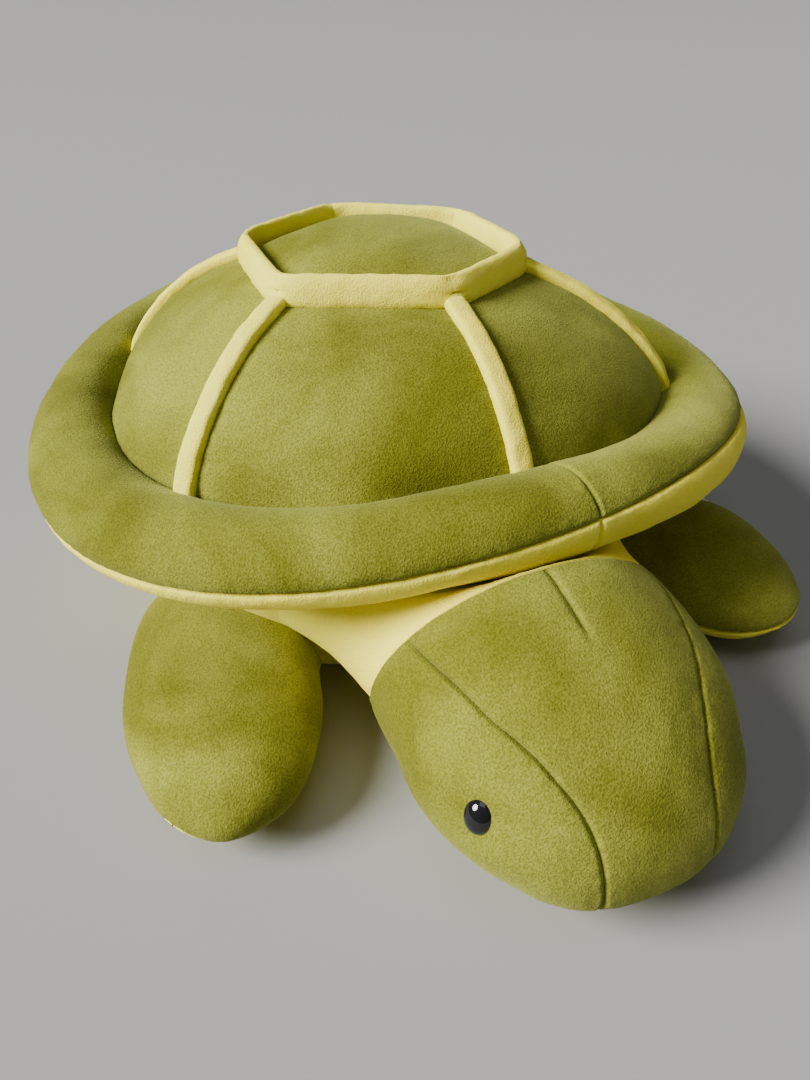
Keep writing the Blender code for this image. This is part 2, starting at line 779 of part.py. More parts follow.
def limb(name, turn, height, lift, twist, size):
    """A padded limb that hinges on the body's wall: two covers over stuffing.

    It is lifted about its hinge line and twisted about its own length.
    """
    length, spread, half_thickness, root_radius, sections = size
    wall = body_wall(turn, height)
    tangent = (body_wall(turn + COVER, height) - body_wall(turn - COVER, height)).normalized()
    upward = (body_wall(turn, height + COVER) - wall).normalized()
    normal = tangent.cross(upward)
    if normal.dot(wall) < 0:
        normal = -normal
    outward = Vector((normal.x, normal.y, 0)).normalized()
    twist_spare = root_radius * TWIST_SPARE_SHARE * sin(abs(twist))
    hinge = wall + normal * (root_radius + GAP + twist_spare)
    pivot = bpy.data.objects.new(name + "_pivot", None)
    bpy.context.scene.collection.objects.link(pivot)
    axes = Matrix((outward, Vector((0, 0, 1)).cross(outward), Vector((0, 0, 1)))).transposed()
    lifted = Matrix.Rotation(-lift, 4, "Y") @ Matrix.Rotation(twist, 4, "X")
    pivot.matrix_world = Matrix.Translation(hinge) @ axes.to_4x4() @ lifted
    mirror = -1 if turn > 0 else 1

    def form():
        return leaf_form(length, spread, half_thickness, root_radius, sections, mirror)

    reach = length + CUT_OVERRUN
    upper_block = block((-reach, -reach, GAP / 2), (reach, reach, reach))
    lower_block = block((-reach, -reach, -reach), (reach, reach, -GAP / 2))
    above = place(name + "_above", upper_block, parent=pivot)
    below = place(name + "_below", lower_block, parent=pivot)
    cover(name + "_upper", form, GREEN_PLUSH, (above,), parent=pivot)
    cover(name + "_lower", form, YELLOW_PLUSH, (below,), parent=pivot)
    stuffing(name + "_stuffing", form, parent=pivot)
    print(name, "hinge", hinge[:], "axis", axes.col[1][:])


front_size = (
    FLIPPER_LENGTH,
    FLIPPER_SPREAD,
    FLIPPER_HALF_THICKNESS,
    FLIPPER_ROOT_RADIUS,
    FLIPPER_SHARES,
)
rear_size = (
    FLIPPER_LENGTH * REAR_SIZE_SHARE,
    FLIPPER_SPREAD * REAR_SIZE_SHARE,
    FLIPPER_HALF_THICKNESS * REAR_SIZE_SHARE,
    FLIPPER_ROOT_RADIUS,
    FLIPPER_SHARES,
)
tail_size = (TAIL_LENGTH, TAIL_SPREAD, TAIL_HALF_THICKNESS, TAIL_ROOT_RADIUS, TAIL_SHARES)
limbs = {
    "front_left_flipper": (
        FRONT_LEFT_TURN, FLIPPER_HINGE_HEIGHT, FRONT_LEFT_LIFT, FRONT_LEFT_TWIST, front_size
    ),
    "front_right_flipper": (
        FRONT_RIGHT_TURN, FLIPPER_HINGE_HEIGHT, -FLIPPER_DROOP, 0, front_size
    ),
    "rear_left_flipper": (REAR_TURN, FLIPPER_HINGE_HEIGHT, -FLIPPER_DROOP, 0, rear_size),
    "rear_right_flipper": (-REAR_TURN, FLIPPER_HINGE_HEIGHT, -FLIPPER_DROOP, 0, rear_size),
    "tail": (pi, TAIL_HINGE_HEIGHT, -FLIPPER_DROOP, 0, tail_size),
}
for name, (turn, height, lift, twist, size) in limbs.items():
    limb(name, turn, height, lift, twist, size)
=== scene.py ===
from math import cos, exp, pi, radians, sin, tan, tau

import bmesh
import bpy
import numpy as np
from mathutils import Matrix, Vector, noise
from mathutils.bvhtree import BVHTree
from mathutils.kdtree import KDTree
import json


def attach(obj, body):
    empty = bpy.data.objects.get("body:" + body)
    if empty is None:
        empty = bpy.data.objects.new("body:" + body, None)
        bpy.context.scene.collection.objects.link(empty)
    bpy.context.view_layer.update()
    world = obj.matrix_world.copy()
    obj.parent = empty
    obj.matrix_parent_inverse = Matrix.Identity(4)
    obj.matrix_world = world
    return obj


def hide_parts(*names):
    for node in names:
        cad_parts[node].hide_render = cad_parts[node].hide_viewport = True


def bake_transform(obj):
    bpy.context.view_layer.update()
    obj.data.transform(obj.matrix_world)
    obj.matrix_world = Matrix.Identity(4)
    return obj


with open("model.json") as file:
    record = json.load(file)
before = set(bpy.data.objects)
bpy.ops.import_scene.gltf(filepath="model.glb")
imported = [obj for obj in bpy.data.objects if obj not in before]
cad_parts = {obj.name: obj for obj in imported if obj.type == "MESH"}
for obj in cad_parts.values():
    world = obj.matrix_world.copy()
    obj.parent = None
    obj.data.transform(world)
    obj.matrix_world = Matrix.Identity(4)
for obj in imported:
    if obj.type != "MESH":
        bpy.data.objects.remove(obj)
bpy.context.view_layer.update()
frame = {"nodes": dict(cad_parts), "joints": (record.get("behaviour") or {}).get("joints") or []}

# Camera: held in front of the turtle and to its right, looking down at it. The lens
# is a wide one, so the near side of the shell looks larger.
CAMERA_PLACE = (-0.1647, -0.4255, 0.3269)
CAMERA_HEADING = radians(23.11)
CAMERA_DOWN = radians(36)
CAMERA_SENSOR = 36.0
CAMERA_LENS = 27.03

view_camera = bpy.data.cameras.new("view_camera")
view_camera.sensor_width = CAMERA_SENSOR
view_camera.lens = CAMERA_LENS
camera = bpy.data.objects.new("camera", view_camera)
bpy.context.scene.collection.objects.link(camera)
camera.location = CAMERA_PLACE
ahead = Vector(
    (
        sin(CAMERA_HEADING) * cos(CAMERA_DOWN),
        cos(CAMERA_HEADING) * cos(CAMERA_DOWN),
        -sin(CAMERA_DOWN),
    )
)
camera.rotation_euler = ahead.to_track_quat("-Z", "Y").to_euler()
bpy.context.scene.camera = camera


# Floor and studio light: a plain pale floor to lie on, a large soft window to the
# turtle's right, a weak light from the room above, and a plain pale sky.
FLOOR_SIZE = 40.0
FLOOR_COLOUR = (0.31, 0.31, 0.305, 1)
FLOOR_ROUGHNESS = 0.9
SKY_COLOUR = (0.92, 0.95, 1.0, 1)
SKY_STRENGTH = 0.10
WINDOW_DIRECTION = (-3.92, 0.42, 2.70)
WINDOW_SOFTNESS = radians(27)
WINDOW_STRENGTH = 8.2
WINDOW_COLOUR = (1.0, 0.985, 0.95)
ROOM_PLACE = (-0.6, -0.6, 4.5)
ROOM_SIZE = 3.0
ROOM_POWER = 42.0
ROOM_COLOUR = (0.97, 0.98, 1.0)

floor_form = bmesh.new()
bmesh.ops.create_grid(floor_form, x_segments=1, y_segments=1, size=FLOOR_SIZE / 2)
floor_mesh = bpy.data.meshes.new("floor")
floor_form.to_mesh(floor_mesh)
floor_form.free()
floor = bpy.data.objects.new("floor", floor_mesh)
bpy.context.scene.collection.objects.link(floor)
floor_look = bpy.data.materials.new("pale_floor")
floor_look.use_nodes = True
floor_shader = floor_look.node_tree.nodes["Principled BSDF"]
floor_shader.inputs["Base Color"].default_value = FLOOR_COLOUR
floor_shader.inputs["Roughness"].default_value = FLOOR_ROUGHNESS
floor_mesh.materials.append(floor_look)

sky = bpy.data.worlds.new("sky")
sky.use_nodes = True
sky.node_tree.nodes["Background"].inputs["Color"].default_value = SKY_COLOUR
sky.node_tree.nodes["Background"].inputs["Strength"].default_value = SKY_STRENGTH
bpy.context.scene.world = sky

window_light = bpy.data.lights.new("window", "SUN")
window_light.angle = WINDOW_SOFTNESS
window_light.energy = WINDOW_STRENGTH
window_light.color = WINDOW_COLOUR
room_light = bpy.data.lights.new("room", "AREA")
room_light.size = ROOM_SIZE
room_light.energy = ROOM_POWER
room_light.color = ROOM_COLOUR
for light, place in ((window_light, WINDOW_DIRECTION), (room_light, ROOM_PLACE)):
    lamp = bpy.data.objects.new(light.name, light)
    lamp.location = place
    lamp.rotation_euler = (-Vector(place)).to_track_quat("-Z", "Y").to_euler()
    bpy.context.scene.collection.objects.link(lamp)


# Rim roll: a stuffed tube of super-soft plush round the shell, green above and pale
# yellow below, sewn together along its outer and inner sides. Each colour is two
# lengths, joined across the roll a little to the turtle's left of its head.
EGG_SHARE = 0.15
RIM_RADIUS = 0.174
RIM_HALF_WIDTH = 0.0245
RIM_HALF_HEIGHT = 0.0215
RIM_HEIGHT = 0.1135
RIM_FRONT_DROP = 0.011
RIM_ARCH = 0.0205
RIM_ARCH_SPREAD = radians(30)
RIM_SEAM_DROP = 0.0035
RIM_SEAM_CLIMB = 0.016
RIM_SEAM_CLIMB_TURN = radians(32)
RIM_SEAM_CLIMB_SPREAD = radians(28)
RIM_JOIN_TURN = radians(6.5)
RIM_SLACK = 0.0008
RIM_LEAST_SHARE = 0.05

# Cloth, seams and stuffing
COVER = 0.002
WELD = 0.00002
SEAM_EDGE = 0.0018
SEAM_DEPTH = 0.0016
SEAM_WIDTH = 0.0010
SEAM_SAMPLES = 4
PUCKER_DEPTH = 0.00045
PUCKER_REACH = 0.0070
PUCKER_SIZE = 0.0042
LUMP_DEPTH = 0.0007
LUMP_SIZE = 0.030
DENT_DEPTH = 0.00018
DENT_SIZE = 0.008
THREAD_STEP = 0.0055
FINE_LEVELS = 2
STUFFING_PRESSURE = 4.0
CLOTH_SPARE_SHARE = 0.012
STUFFING_FRAMES = 20
MOST_MOVE = 0.006
EDGE_SLOPE = 0.45
SETTLE_STEPS = 5
SETTLE_SHARE = 0.7
FILL_DEPTH = 0.0032
# How far the stuffing may be set in, as a share of the way through at a thin edge
THIN_SHARE = 0.4
# How far inside a surface a line across it starts
RAY_START = 0.0001

# Plush colours, as the pile looks brushed one way and the other, in linear light
GREEN_LIGHT = (0.322, 0.336, 0.046, 1)
GREEN_DARK = (0.162, 0.168, 0.011, 1)
YELLOW_LIGHT = (1.000, 0.930, 0.125, 1)
YELLOW_DARK = (0.985, 0.860, 0.075, 1)
# Painted shade between the pile's curls, multiplied into the plush colours
GREEN_CURL_SHADE = (0.62, 0.60, 0.46, 1)
YELLOW_CURL_SHADE = (0.96, 0.91, 0.70, 1)
GREEN_SHEEN = (0.85, 0.90, 0.30, 1)
YELLOW_SHEEN = (1.0, 0.90, 0.20, 1)
FIBRE_SHADE = (0.70, 0.68, 0.62, 1)
FIBRE_WHITE = (0.90, 0.89, 0.86, 1)

# Patches, curls, fibres and tufts to the metre, and the depth of their relief
BRUSHED_SCALE = 15
CURL_SCALE = 1050
FIBRE_SCALE = 1700
FIBRE_RELIEF_SHARE = 0.35
PILE_DEPTH = 0.0012
TUFT_SCALE = 160
TUFT_DEPTH = 0.003


def new_look(name):
    """A new material with its nodes, its links, its shader and places on the piece."""
    look = bpy.data.materials.new(name)
    look.use_nodes = True
    nodes = look.node_tree.nodes
    place = nodes.new("ShaderNodeTexCoord").outputs["Object"]
    return look, nodes, look.node_tree.links, nodes["Principled BSDF"], place


def blended(nodes, links, share, low, high):
    """A colour between two, by the share that another node gives."""
    mix = nodes.new("ShaderNodeMix")
    mix.data_type = "RGBA"
    mix.inputs["A"].default_value = low
    mix.inputs["B"].default_value = high
    links.new(share, mix.inputs["Factor"])
    return mix.outputs["Result"]


def speckle(nodes, links, place, scale, detail, twist=0.0):
    """A soft cloud pattern through space, scale patches to the metre."""
    cloud = nodes.new("ShaderNodeTexNoise")
    cloud.inputs["Scale"].default_value = scale
    cloud.inputs["Detail"].default_value = detail
    cloud.inputs["Distortion"].default_value = twist
    links.new(place, cloud.inputs["Vector"])
    return cloud.outputs["Fac"]


def spread(nodes, links, value, low, high):
    """Stretches a value's range from low..high to 0..1."""
    stretch = nodes.new("ShaderNodeMapRange")
    stretch.inputs["From Min"].default_value = low
    stretch.inputs["From Max"].default_value = high
    links.new(value, stretch.inputs["Value"])
    return stretch.outputs["Result"]


def raised(nodes, links, shader, height, strength, distance):
    """Gives a finish its relief."""
    bump = nodes.new("ShaderNodeBump")
    bump.inputs["Strength"].default_value = strength
    bump.inputs["Distance"].default_value = distance
    links.new(height, bump.inputs["Height"])
    links.new(bump.outputs["Normal"], shader.inputs["Normal"])


def plush(name, dark, light, curl_shade_colour, sheen):
    """Short curly pile: brushed patches, fine curls with painted shade between them, and a soft
    sheen.
    """
    look, nodes, links, shader, place = new_look(name)
    patches = speckle(nodes, links, place, BRUSHED_SCALE, 3, 0.6)
    curls = speckle(nodes, links, place, CURL_SCALE, 4, 0.3)
    fibres = speckle(nodes, links, place, FIBRE_SCALE, 2)
    pile = blended(nodes, links, spread(nodes, links, patches, 0.34, 0.66), dark, light)
    # Painted shade: the pile's colour is darkened between its curls, where shade falls among
    # them
    curl_shade = nodes.new("ShaderNodeMix")
    curl_shade.data_type = "RGBA"
    curl_shade.blend_type = "MULTIPLY"
    curl_shade.inputs["B"].default_value = curl_shade_colour
    links.new(spread(nodes, links, curls, 0.62, 0.36), curl_shade.inputs["Factor"])
    links.new(pile, curl_shade.inputs["A"])
    links.new(curl_shade.outputs["Result"], shader.inputs["Base Color"])
    relief = nodes.new("ShaderNodeMath")
    relief.operation = "MULTIPLY_ADD"
    relief.inputs[1].default_value = FIBRE_RELIEF_SHARE
    links.new(fibres, relief.inputs[0])
    links.new(curls, relief.inputs[2])
    raised(nodes, links, shader, relief.outputs[0], 0.5, PILE_DEPTH)
    shader.inputs["Roughness"].default_value = 0.92
    shader.inputs["Specular IOR Level"].default_value = 0.12
    shader.inputs["Sheen Weight"].default_value = 0.28
    shader.inputs["Sheen Roughness"].default_value = 0.42
    shader.inputs["Sheen Tint"].default_value = sheen
    return look


def fibre_fill(name):
    """White hollow-fibre stuffing."""
    look, nodes, links, shader, place = new_look(name)
    tufts = speckle(nodes, links, place, TUFT_SCALE, 5, 2.0)
    colour = blended(nodes, links, tufts, FIBRE_SHADE, FIBRE_WHITE)
    links.new(colour, shader.inputs["Base Color"])
    raised(nodes, links, shader, tufts, 0.6, TUFT_DEPTH)
    shader.inputs["Roughness"].default_value = 1.0
    shader.inputs["Sheen Weight"].default_value = 0.3
    return look


PLUSH = {
    "green": plush("green_plush", GREEN_DARK, GREEN_LIGHT, GREEN_CURL_SHADE, GREEN_SHEEN),
    "yellow": plush("yellow_plush", YELLOW_DARK, YELLOW_LIGHT, YELLOW_CURL_SHADE, YELLOW_SHEEN),
}
FIBRE = fibre_fill("stuffing_fibre")


def threads(length, seams=True):
    """Shares along a panel of some length where its grid's lines run, close at its seams."""
    count = max(3, round(length / THREAD_STEP))
    even = np.linspace(0, 1, count + 1)
    if not seams:
        return even
    edge = SEAM_EDGE / length
    return np.concatenate(([0, edge], even[1:-1], [1 - edge, 1]))


def threads_to_point(length):
    """The same for a panel that starts at a seam and runs to a point."""
    both = threads(length)
    return np.concatenate((both[:-2], both[-1:]))


def joined(*stretches):
    """Several stretches of shares, end to end, counted in stretches."""
    whole = [stretch[:-1] + number for number, stretch in enumerate(stretches)]
    return np.concatenate(whole + [[len(stretches)]])


def lay(form, number, surface, across, along):
    """Lays a woven grid over a surface as one numbered panel of a form."""
    mark = form.faces.layers.int["panel"]
    made = bmesh.ops.create_grid(
        form, x_segments=len(across) - 1, y_segments=len(along) - 1, size=1
    )["verts"]
    steps = np.array([vert.co[:2] for vert in made]) / 2 + 0.5
    column = np.rint(steps[:, 0] * (len(across) - 1)).astype(int)
    row = np.rint(steps[:, 1] * (len(along) - 1)).astype(int)
    for vert, spot in zip(made, surface(across[column], along[row])):
        vert.co = spot
    for vert in made:
        for face in vert.link_faces:
            face[mark] = number


def finder(spots):
    """A tree that finds the nearest of some places."""
    tree = KDTree(len(spots))
    for number, spot in enumerate(spots):
        tree.insert(spot, number)
    tree.balance()
    return tree


def put(form, spots):
    """Moves a form's vertices to new places."""
    for vert, spot in zip(form.verts, spots):
        vert.co = spot


def sewn(panels, core):
    """A form of panels that meet at their seams, facing away from the form's core."""
    form = bmesh.new()
    mark = form.faces.layers.int.new("panel")
    inward = form.verts.layers.float_vector.new("inward")
    for number, (surface, across, along) in enumerate(panels):
        lay(form, number, surface, across, along)
    bmesh.ops.remove_doubles(form, verts=form.verts, dist=WELD)
    form.normal_update()
    outward = [0.0] * len(panels)
    for face in form.faces:
        middle = face.calc_center_median()
        outward[face[mark]] += face.normal.dot(middle - core(middle)) * face.calc_area()
    wrong = [face for face in form.faces if outward[face[mark]] < 0]
    bmesh.ops.reverse_faces(form, faces=wrong)
    form.normal_update()
    edges = seam_verts(form)
    near = finder([vert.co for vert in edges])
    for vert in edges:
        around = near.find_range(vert.co, SEAM_EDGE)
        total = sum((edges[other].normal for _, other, _ in around), Vector())
        vert[inward] = -total.normalized()
    return form


def seam_verts(form):
    """The vertices on a form's seams and open edges."""
    mark = form.faces.layers.int["panel"]
    return [
        vert
        for vert in form.verts
        if vert.is_boundary or len({face[mark] for face in vert.link_faces}) > 1
    ]


def work_table(piece):
    """A scene with one piece alone, so that nothing else is worked out with it."""
    table = bpy.data.scenes.new("work_table")
    table.collection.objects.link(piece)
    return table


def stuff(form, name, most=MOST_MOVE):
    """Presses a form's panels out with stuffing, as cloth that is held along its seams."""
    mesh = bpy.data.meshes.new(name)
    form.verts.index_update()
    form.to_mesh(mesh)
    cloth_piece = bpy.data.objects.new(name, mesh)
    table = work_table(cloth_piece)
    held = cloth_piece.vertex_groups.new(name="seams")
    held.add([vert.index for vert in seam_verts(form)], 1.0, "REPLACE")
    cloth = cloth_piece.modifiers.new("stuffing", "CLOTH").settings
    cloth.vertex_group_mass = held.name
    cloth.use_pressure = True
    cloth.uniform_pressure_force = STUFFING_PRESSURE
    cloth.shrink_min = -CLOTH_SPARE_SHARE
    cloth.effector_weights.gravity = 0
    for moment in range(1, STUFFING_FRAMES + 1):
        table.frame_set(moment)
    shaped = cloth_piece.evaluated_get(table.view_layers[0].depsgraph).to_mesh()
    moves = [moved.co - vert.co for moved, vert in zip(shaped.vertices, form.verts)]
    near = finder([vert.co for vert in seam_verts(form)])
    limits = [min(most, near.find(vert.co)[2] * EDGE_SLOPE) for vert in form.verts]
    around = [[edge.other_vert(vert).index for edge in vert.link_edges] for vert in form.verts]
    for _ in range(SETTLE_STEPS):
        means = [
            sum((moves[other] for other in others), Vector()) / len(others) for others in around
        ]
        moves = [
            move.lerp(mean, SETTLE_SHARE) if limit else Vector()
            for move, mean, limit in zip(moves, means, limits)
        ]
    for vert, move, limit in zip(form.verts, moves, limits):
        vert.co += move * min(1, limit / max(move.length, WELD))
    bpy.data.scenes.remove(table)
    bpy.data.objects.remove(cloth_piece)
    bpy.data.meshes.remove(mesh)
    form.normal_update()
    return form


def show(name, mesh, look, body, nodes):
    """Makes a finished mesh a piece that rides on a body and stands for CAD nodes."""
    mesh.materials.clear()
    mesh.materials.append(look)
    mesh.shade_smooth()
    piece = bpy.data.objects.new(name, mesh)
    bpy.context.scene.collection.objects.link(piece)
    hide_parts(*nodes)
    if body:
        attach(piece, body)
    return piece


def woven(form, levels):
    """A form's mesh after smooth subdivision, with its corners kept."""
    rough = bpy.data.meshes.new("rough")
    form.to_mesh(rough)
    holder = bpy.data.objects.new("rough", rough)
    table = work_table(holder)
    smooth = holder.modifiers.new("smooth", "SUBSURF")
    smooth.levels = levels
    smooth.render_levels = levels
    smooth.boundary_smooth = "PRESERVE_CORNERS"
    table.view_layers[0].update()
    fine = bpy.data.meshes.new_from_object(holder.evaluated_get(table.view_layers[0].depsgraph))
    bpy.data.scenes.remove(table)
    bpy.data.objects.remove(holder)
    bpy.data.meshes.remove(rough)
    return fine


def panel(
    node, form, number, colour, body, shape=None, depth=SEAM_DEPTH, levels=FINE_LEVELS, name=None
):
    """Cuts one panel out of a form, weaves it fine, sews its edges in and lines it."""
    cut = form.copy()
    mark = cut.faces.layers.int["panel"]
    rest = [face for face in cut.faces if face[mark] != number]
    bmesh.ops.delete(cut, geom=rest, context="FACES")
    fine = woven(cut, levels)
    cut.free()
    cloth = bmesh.new()
    cloth.from_mesh(fine)
    inward = cloth.verts.layers.float_vector["inward"]
    samples = []
    for edge in cloth.edges:
        if edge.is_boundary:
            start, end = edge.verts
            for share in np.arange(SEAM_SAMPLES) / SEAM_SAMPLES:
                samples.append(
                    (start.co.lerp(end.co, share), start[inward].lerp(end[inward], share))
                )
    near = finder([spot for spot, _ in samples])
    cloth.normal_update()
    moves = []
    for vert in cloth.verts:
        _, nearest, distance = near.find(vert.co)
        pull = samples[nearest][1]
        lump = noise.noise(vert.co / LUMP_SIZE) * LUMP_DEPTH
        dent = noise.noise(vert.co / DENT_SIZE) * DENT_DEPTH
        near_seam = exp(-((distance / PUCKER_REACH) ** 2))
        at_seam = exp(-((distance / SEAM_WIDTH) ** 2))
        gather = PUCKER_DEPTH * max(0, near_seam - at_seam)
        pucker = noise.noise(vert.co / PUCKER_SIZE) * gather
        move = vert.normal * ((lump + dent) * (1 - near_seam) + pucker)
        moves.append(vert.co + move + pull.normalized() * depth * at_seam)
    put(cloth, moves)
    if shape:
        shape(cloth)
    cloth.to_mesh(fine)
    cloth.free()
    for layer_name in ("inward", "panel"):
        fine.attributes.remove(fine.attributes[layer_name])
    name = name or node + "_cloth"
    piece = show(name, fine, PLUSH[colour], body, [node])
    lining = piece.modifiers.new("cloth_thickness", "SOLIDIFY")
    lining.thickness = COVER
    lining.offset = -1
    return piece


def closed(panels, core):
    """A sewn form with its open ends closed."""
    form = sewn(panels, core)
    bmesh.ops.holes_fill(form, edges=form.edges, sides=0)
    bmesh.ops.recalc_face_normals(form, faces=form.faces)
    form.normal_update()
    return form


def filling(part, panels, core, body):
    """The stuffing inside a part: its closed form, set in from its covers."""
    form = closed(panels, core)
    skin = BVHTree.FromBMesh(form)
    moves = []
    for vert in form.verts:
        inside = vert.co - vert.normal * RAY_START
        across = skin.ray_cast(inside, -vert.normal)[3] or 0
        moves.append(vert.co - vert.normal * min(FILL_DEPTH, across * THIN_SHARE))
    put(form, moves)
    fine = woven(form, 1)
    form.free()
    return show(part + "_fill", fine, FIBRE, body, [part + "_stuffing"])


def plan(turn, radius, height):
    """Places at angles from the front and distances from the shell's middle."""
    forward = radius * np.cos(turn)
    across = radius * np.sin(turn) * (1 + EGG_SHARE * forward / RIM_RADIUS)
    return np.stack((across, -forward, height + 0 * forward), -1)


def swell(turn, middle, spread_turn):
    """A smooth rise to 1 round a middle angle, and back to 0 beside it."""
    off = (turn - middle + pi) % tau - pi
    return np.exp(-((off / spread_turn) ** 2) / 2)


def rim_height(turn):
    """Height of the roll's centre line: it drops to the front and arches over the neck."""
    arch = RIM_ARCH * swell(turn, 0, RIM_ARCH_SPREAD)
    return RIM_HEIGHT - RIM_FRONT_DROP * np.cos(turn) + arch


def polar(points):
    """Angle from the front and distance from the shell's middle of places."""
    forward = -points[..., 1]
    across = points[..., 0] / (1 + EGG_SHARE * forward / RIM_RADIUS)
    return np.arctan2(across, forward), np.hypot(forward, across)


def clear_of_rim(points, gap):
    """Places moved out of the roll to lie on it, with a gap."""
    turn, radius = polar(points)
    out = radius - RIM_RADIUS
    up = points[..., 2] - rim_height(turn)
    share = np.hypot(out / (RIM_HALF_WIDTH + gap), up / (RIM_HALF_HEIGHT + gap))
    push = np.where(share < 1, 1 / np.maximum(share, RIM_LEAST_SHARE), 1)
    return plan(turn, RIM_RADIUS + out * push, rim_height(turn) + up * push)


def outer_seam(turn):
    """Angle round the roll's section of its outer seam, which climbs at the front left."""
    climb = RIM_SEAM_CLIMB * swell(turn, RIM_SEAM_CLIMB_TURN, RIM_SEAM_CLIMB_SPREAD)
    return np.arcsin((climb - RIM_SEAM_DROP) / RIM_HALF_HEIGHT)


inner_seam = pi + np.arcsin(RIM_SEAM_DROP / RIM_HALF_HEIGHT)


def rim_surface(above, start):
    """The green band over the roll or the yellow one under it, for half of its length."""

    def surface(u, v):
        turn = start + pi * v
        low = outer_seam(turn) if above else inner_seam
        high = inner_seam if above else tau + outer_seam(turn)
        lean = low + (high - low) * u
        return plan(
            turn,
            RIM_RADIUS + (RIM_HALF_WIDTH - RIM_SLACK) * np.cos(lean),
            rim_height(turn) + (RIM_HALF_HEIGHT - RIM_SLACK) * np.sin(lean),
        )

    return surface


def rim_core(point):
    """The nearest place on the roll's centre line."""
    turn, _ = polar(np.array(point))
    return Vector(plan(turn, RIM_RADIUS, rim_height(turn)))


rim_girth = pi * (RIM_HALF_WIDTH + RIM_HALF_HEIGHT) / 2
rim_along = threads(pi * RIM_RADIUS)
rim_pieces = {
    "rim_upper_left": (True, RIM_JOIN_TURN),
    "rim_upper_right": (True, RIM_JOIN_TURN - pi),
    "rim_lower_left": (False, RIM_JOIN_TURN),
    "rim_lower_right": (False, RIM_JOIN_TURN - pi),
}
rim_panels = [
    (rim_surface(*band), threads(rim_girth), rim_along) for band in rim_pieces.values()
]
rim_form = stuff(sewn(rim_panels, rim_core), "rim")
for number, node in enumerate(rim_pieces):
    panel(node, rim_form, number, "green" if "upper" in node else "yellow", "torso")
rim_form.free()
filling("rim", rim_panels, rim_core, "torso")


# Shell dome: six green side panels and a six-sided top panel of the same plush over
# stuffing. The sides are sewn to the strips between them and, at their foot, inside
# the rim roll.
RIB_ANGLES = tuple(radians(turn) for turn in (6, 57, 117, 180, 240, 303))
RIB_FOOT_ANGLES = tuple(radians(turn) for turn in (3, 55, 117, 180, 243, 308))
DOME_RADIUS = 0.154
DOME_TOP = 0.2075
DECK_HEIGHT = 0.118
DOME_SEAM_SHARE = 0.50
DOME_SLACK = 0.0010
RIM_NIP = 0.004
FOOT_SPREAD = 0.0035
RIB_WIDTH = 0.011
RIB_COVERED_SHARE = 0.30
# Radius share, height share above the deck, and how six-sided the ring is
DOME_SHARES = (
    (0.00, 1.000, 0.0),
    (0.20, 0.970, 0.2),
    (0.38, 0.885, 0.7),
    (0.53, 0.785, 1.0),
    (0.70, 0.665, 0.8),
    (0.86, 0.475, 0.4),
    (0.96, 0.270, 0.2),
    (1.00, 0.090, 0.0),
    (0.98, 0.000, 0.0),
)
# Rows of the table where the top panel ends, and where the foot starts to spread
TOP_SEAM_ROW = 2.8
DOME_SPREAD_ROW = 5.2
DOME_SPREAD_ROWS = 1.8
# Threads from the top of the shell's stuffing to its edge
SHELL_FILL_THREADS = 20


def through(rows, place, before=None, after=None):
    """Values on a smooth curve through rows, at places counted in rows."""
    rows = np.array(rows, float)
    first = 2 * rows[0] - rows[1] if before is None else np.array(before, float)
    last = 2 * rows[-1] - rows[-2] if after is None else np.array(after, float)
    padded_rows = np.vstack((first, rows, last))
    step = np.clip(np.floor(place).astype(int), 0, len(rows) - 2)
    t = (place - step)[..., None]
    a, b, c, d = (padded_rows[step + ahead_by] for ahead_by in range(4))
    bend = (2 * a - 5 * b + 4 * c - d) * t**2 + (3 * b - a - 3 * c + d) * t**3
    return np.moveaxis((2 * b + (c - a) * t + bend) / 2, -1, 0)


seam_radius = DOME_RADIUS * DOME_SEAM_SHARE


def dome_profile(row):
    """Radius, height and how six-sided the dome is, at places counted in rows of its table."""
    tip = DOME_SHARES[1]
    out, up, sides = through(DOME_SHARES, row, before=(-tip[0], tip[1], tip[2]))
    return DOME_RADIUS * out, DECK_HEIGHT + (DOME_TOP - DECK_HEIGHT) * up, sides


def all_round(turns):
    """Angles round the shell, with the first again after the last."""
    return np.array(turns + (turns[0] + tau,))


def rib_turns(sector, down):
    """The angles of the seams at the two sides of a sector, on the way down the dome."""
    tops = all_round(RIB_ANGLES)
    feet = all_round(RIB_FOOT_ANGLES)
    lines = tops + (feet - tops) * down[..., None]
    start = np.take_along_axis(lines, sector[..., None], -1)[..., 0]
    end = np.take_along_axis(lines, sector[..., None] + 1, -1)[..., 0]
    return start, end


def dome_place(sector, share, row, trim):
    """A place on the dome, between the strips when trimmed by half their width."""
    radius, height, sides = dome_profile(row)
    down = np.clip((radius - seam_radius) / (DOME_RADIUS - seam_radius), 0, 1)
    start, end = rib_turns(sector, down)
    side = trim / np.maximum(radius, seam_radius)
    turn = start + side + (end - start - 2 * side) * share
    straight = np.cos((end - start) / 2) / np.cos(turn - (start + end) / 2)
    foot = FOOT_SPREAD * np.clip((row - DOME_SPREAD_ROW) / DOME_SPREAD_ROWS, 0, 1)
    ring = (radius - DOME_SLACK) * (1 - sides * (1 - straight)) + foot
    return clear_of_rim(plan(turn, ring, height - DOME_SLACK), -RIM_NIP)


def top_surface(u, v):
    """The top panel's straight weave, laid into its six-sided outline."""
    across = (2 * u - 1) * np.sqrt(1 - (2 * v - 1) ** 2 / 2)
    forward = (2 * v - 1) * np.sqrt(1 - (2 * u - 1) ** 2 / 2)
    corners = all_round(RIB_ANGLES)
    turn = (np.arctan2(across, forward) - RIB_ANGLES[0]) % tau + RIB_ANGLES[0]
    sector = np.clip(np.searchsorted(corners, turn, side="right") - 1, 0, 5)
    share = (turn - corners[sector]) / (corners[sector + 1] - corners[sector])
    return dome_place(sector, share, np.minimum(np.hypot(across, forward), 1) * TOP_SEAM_ROW, 0)


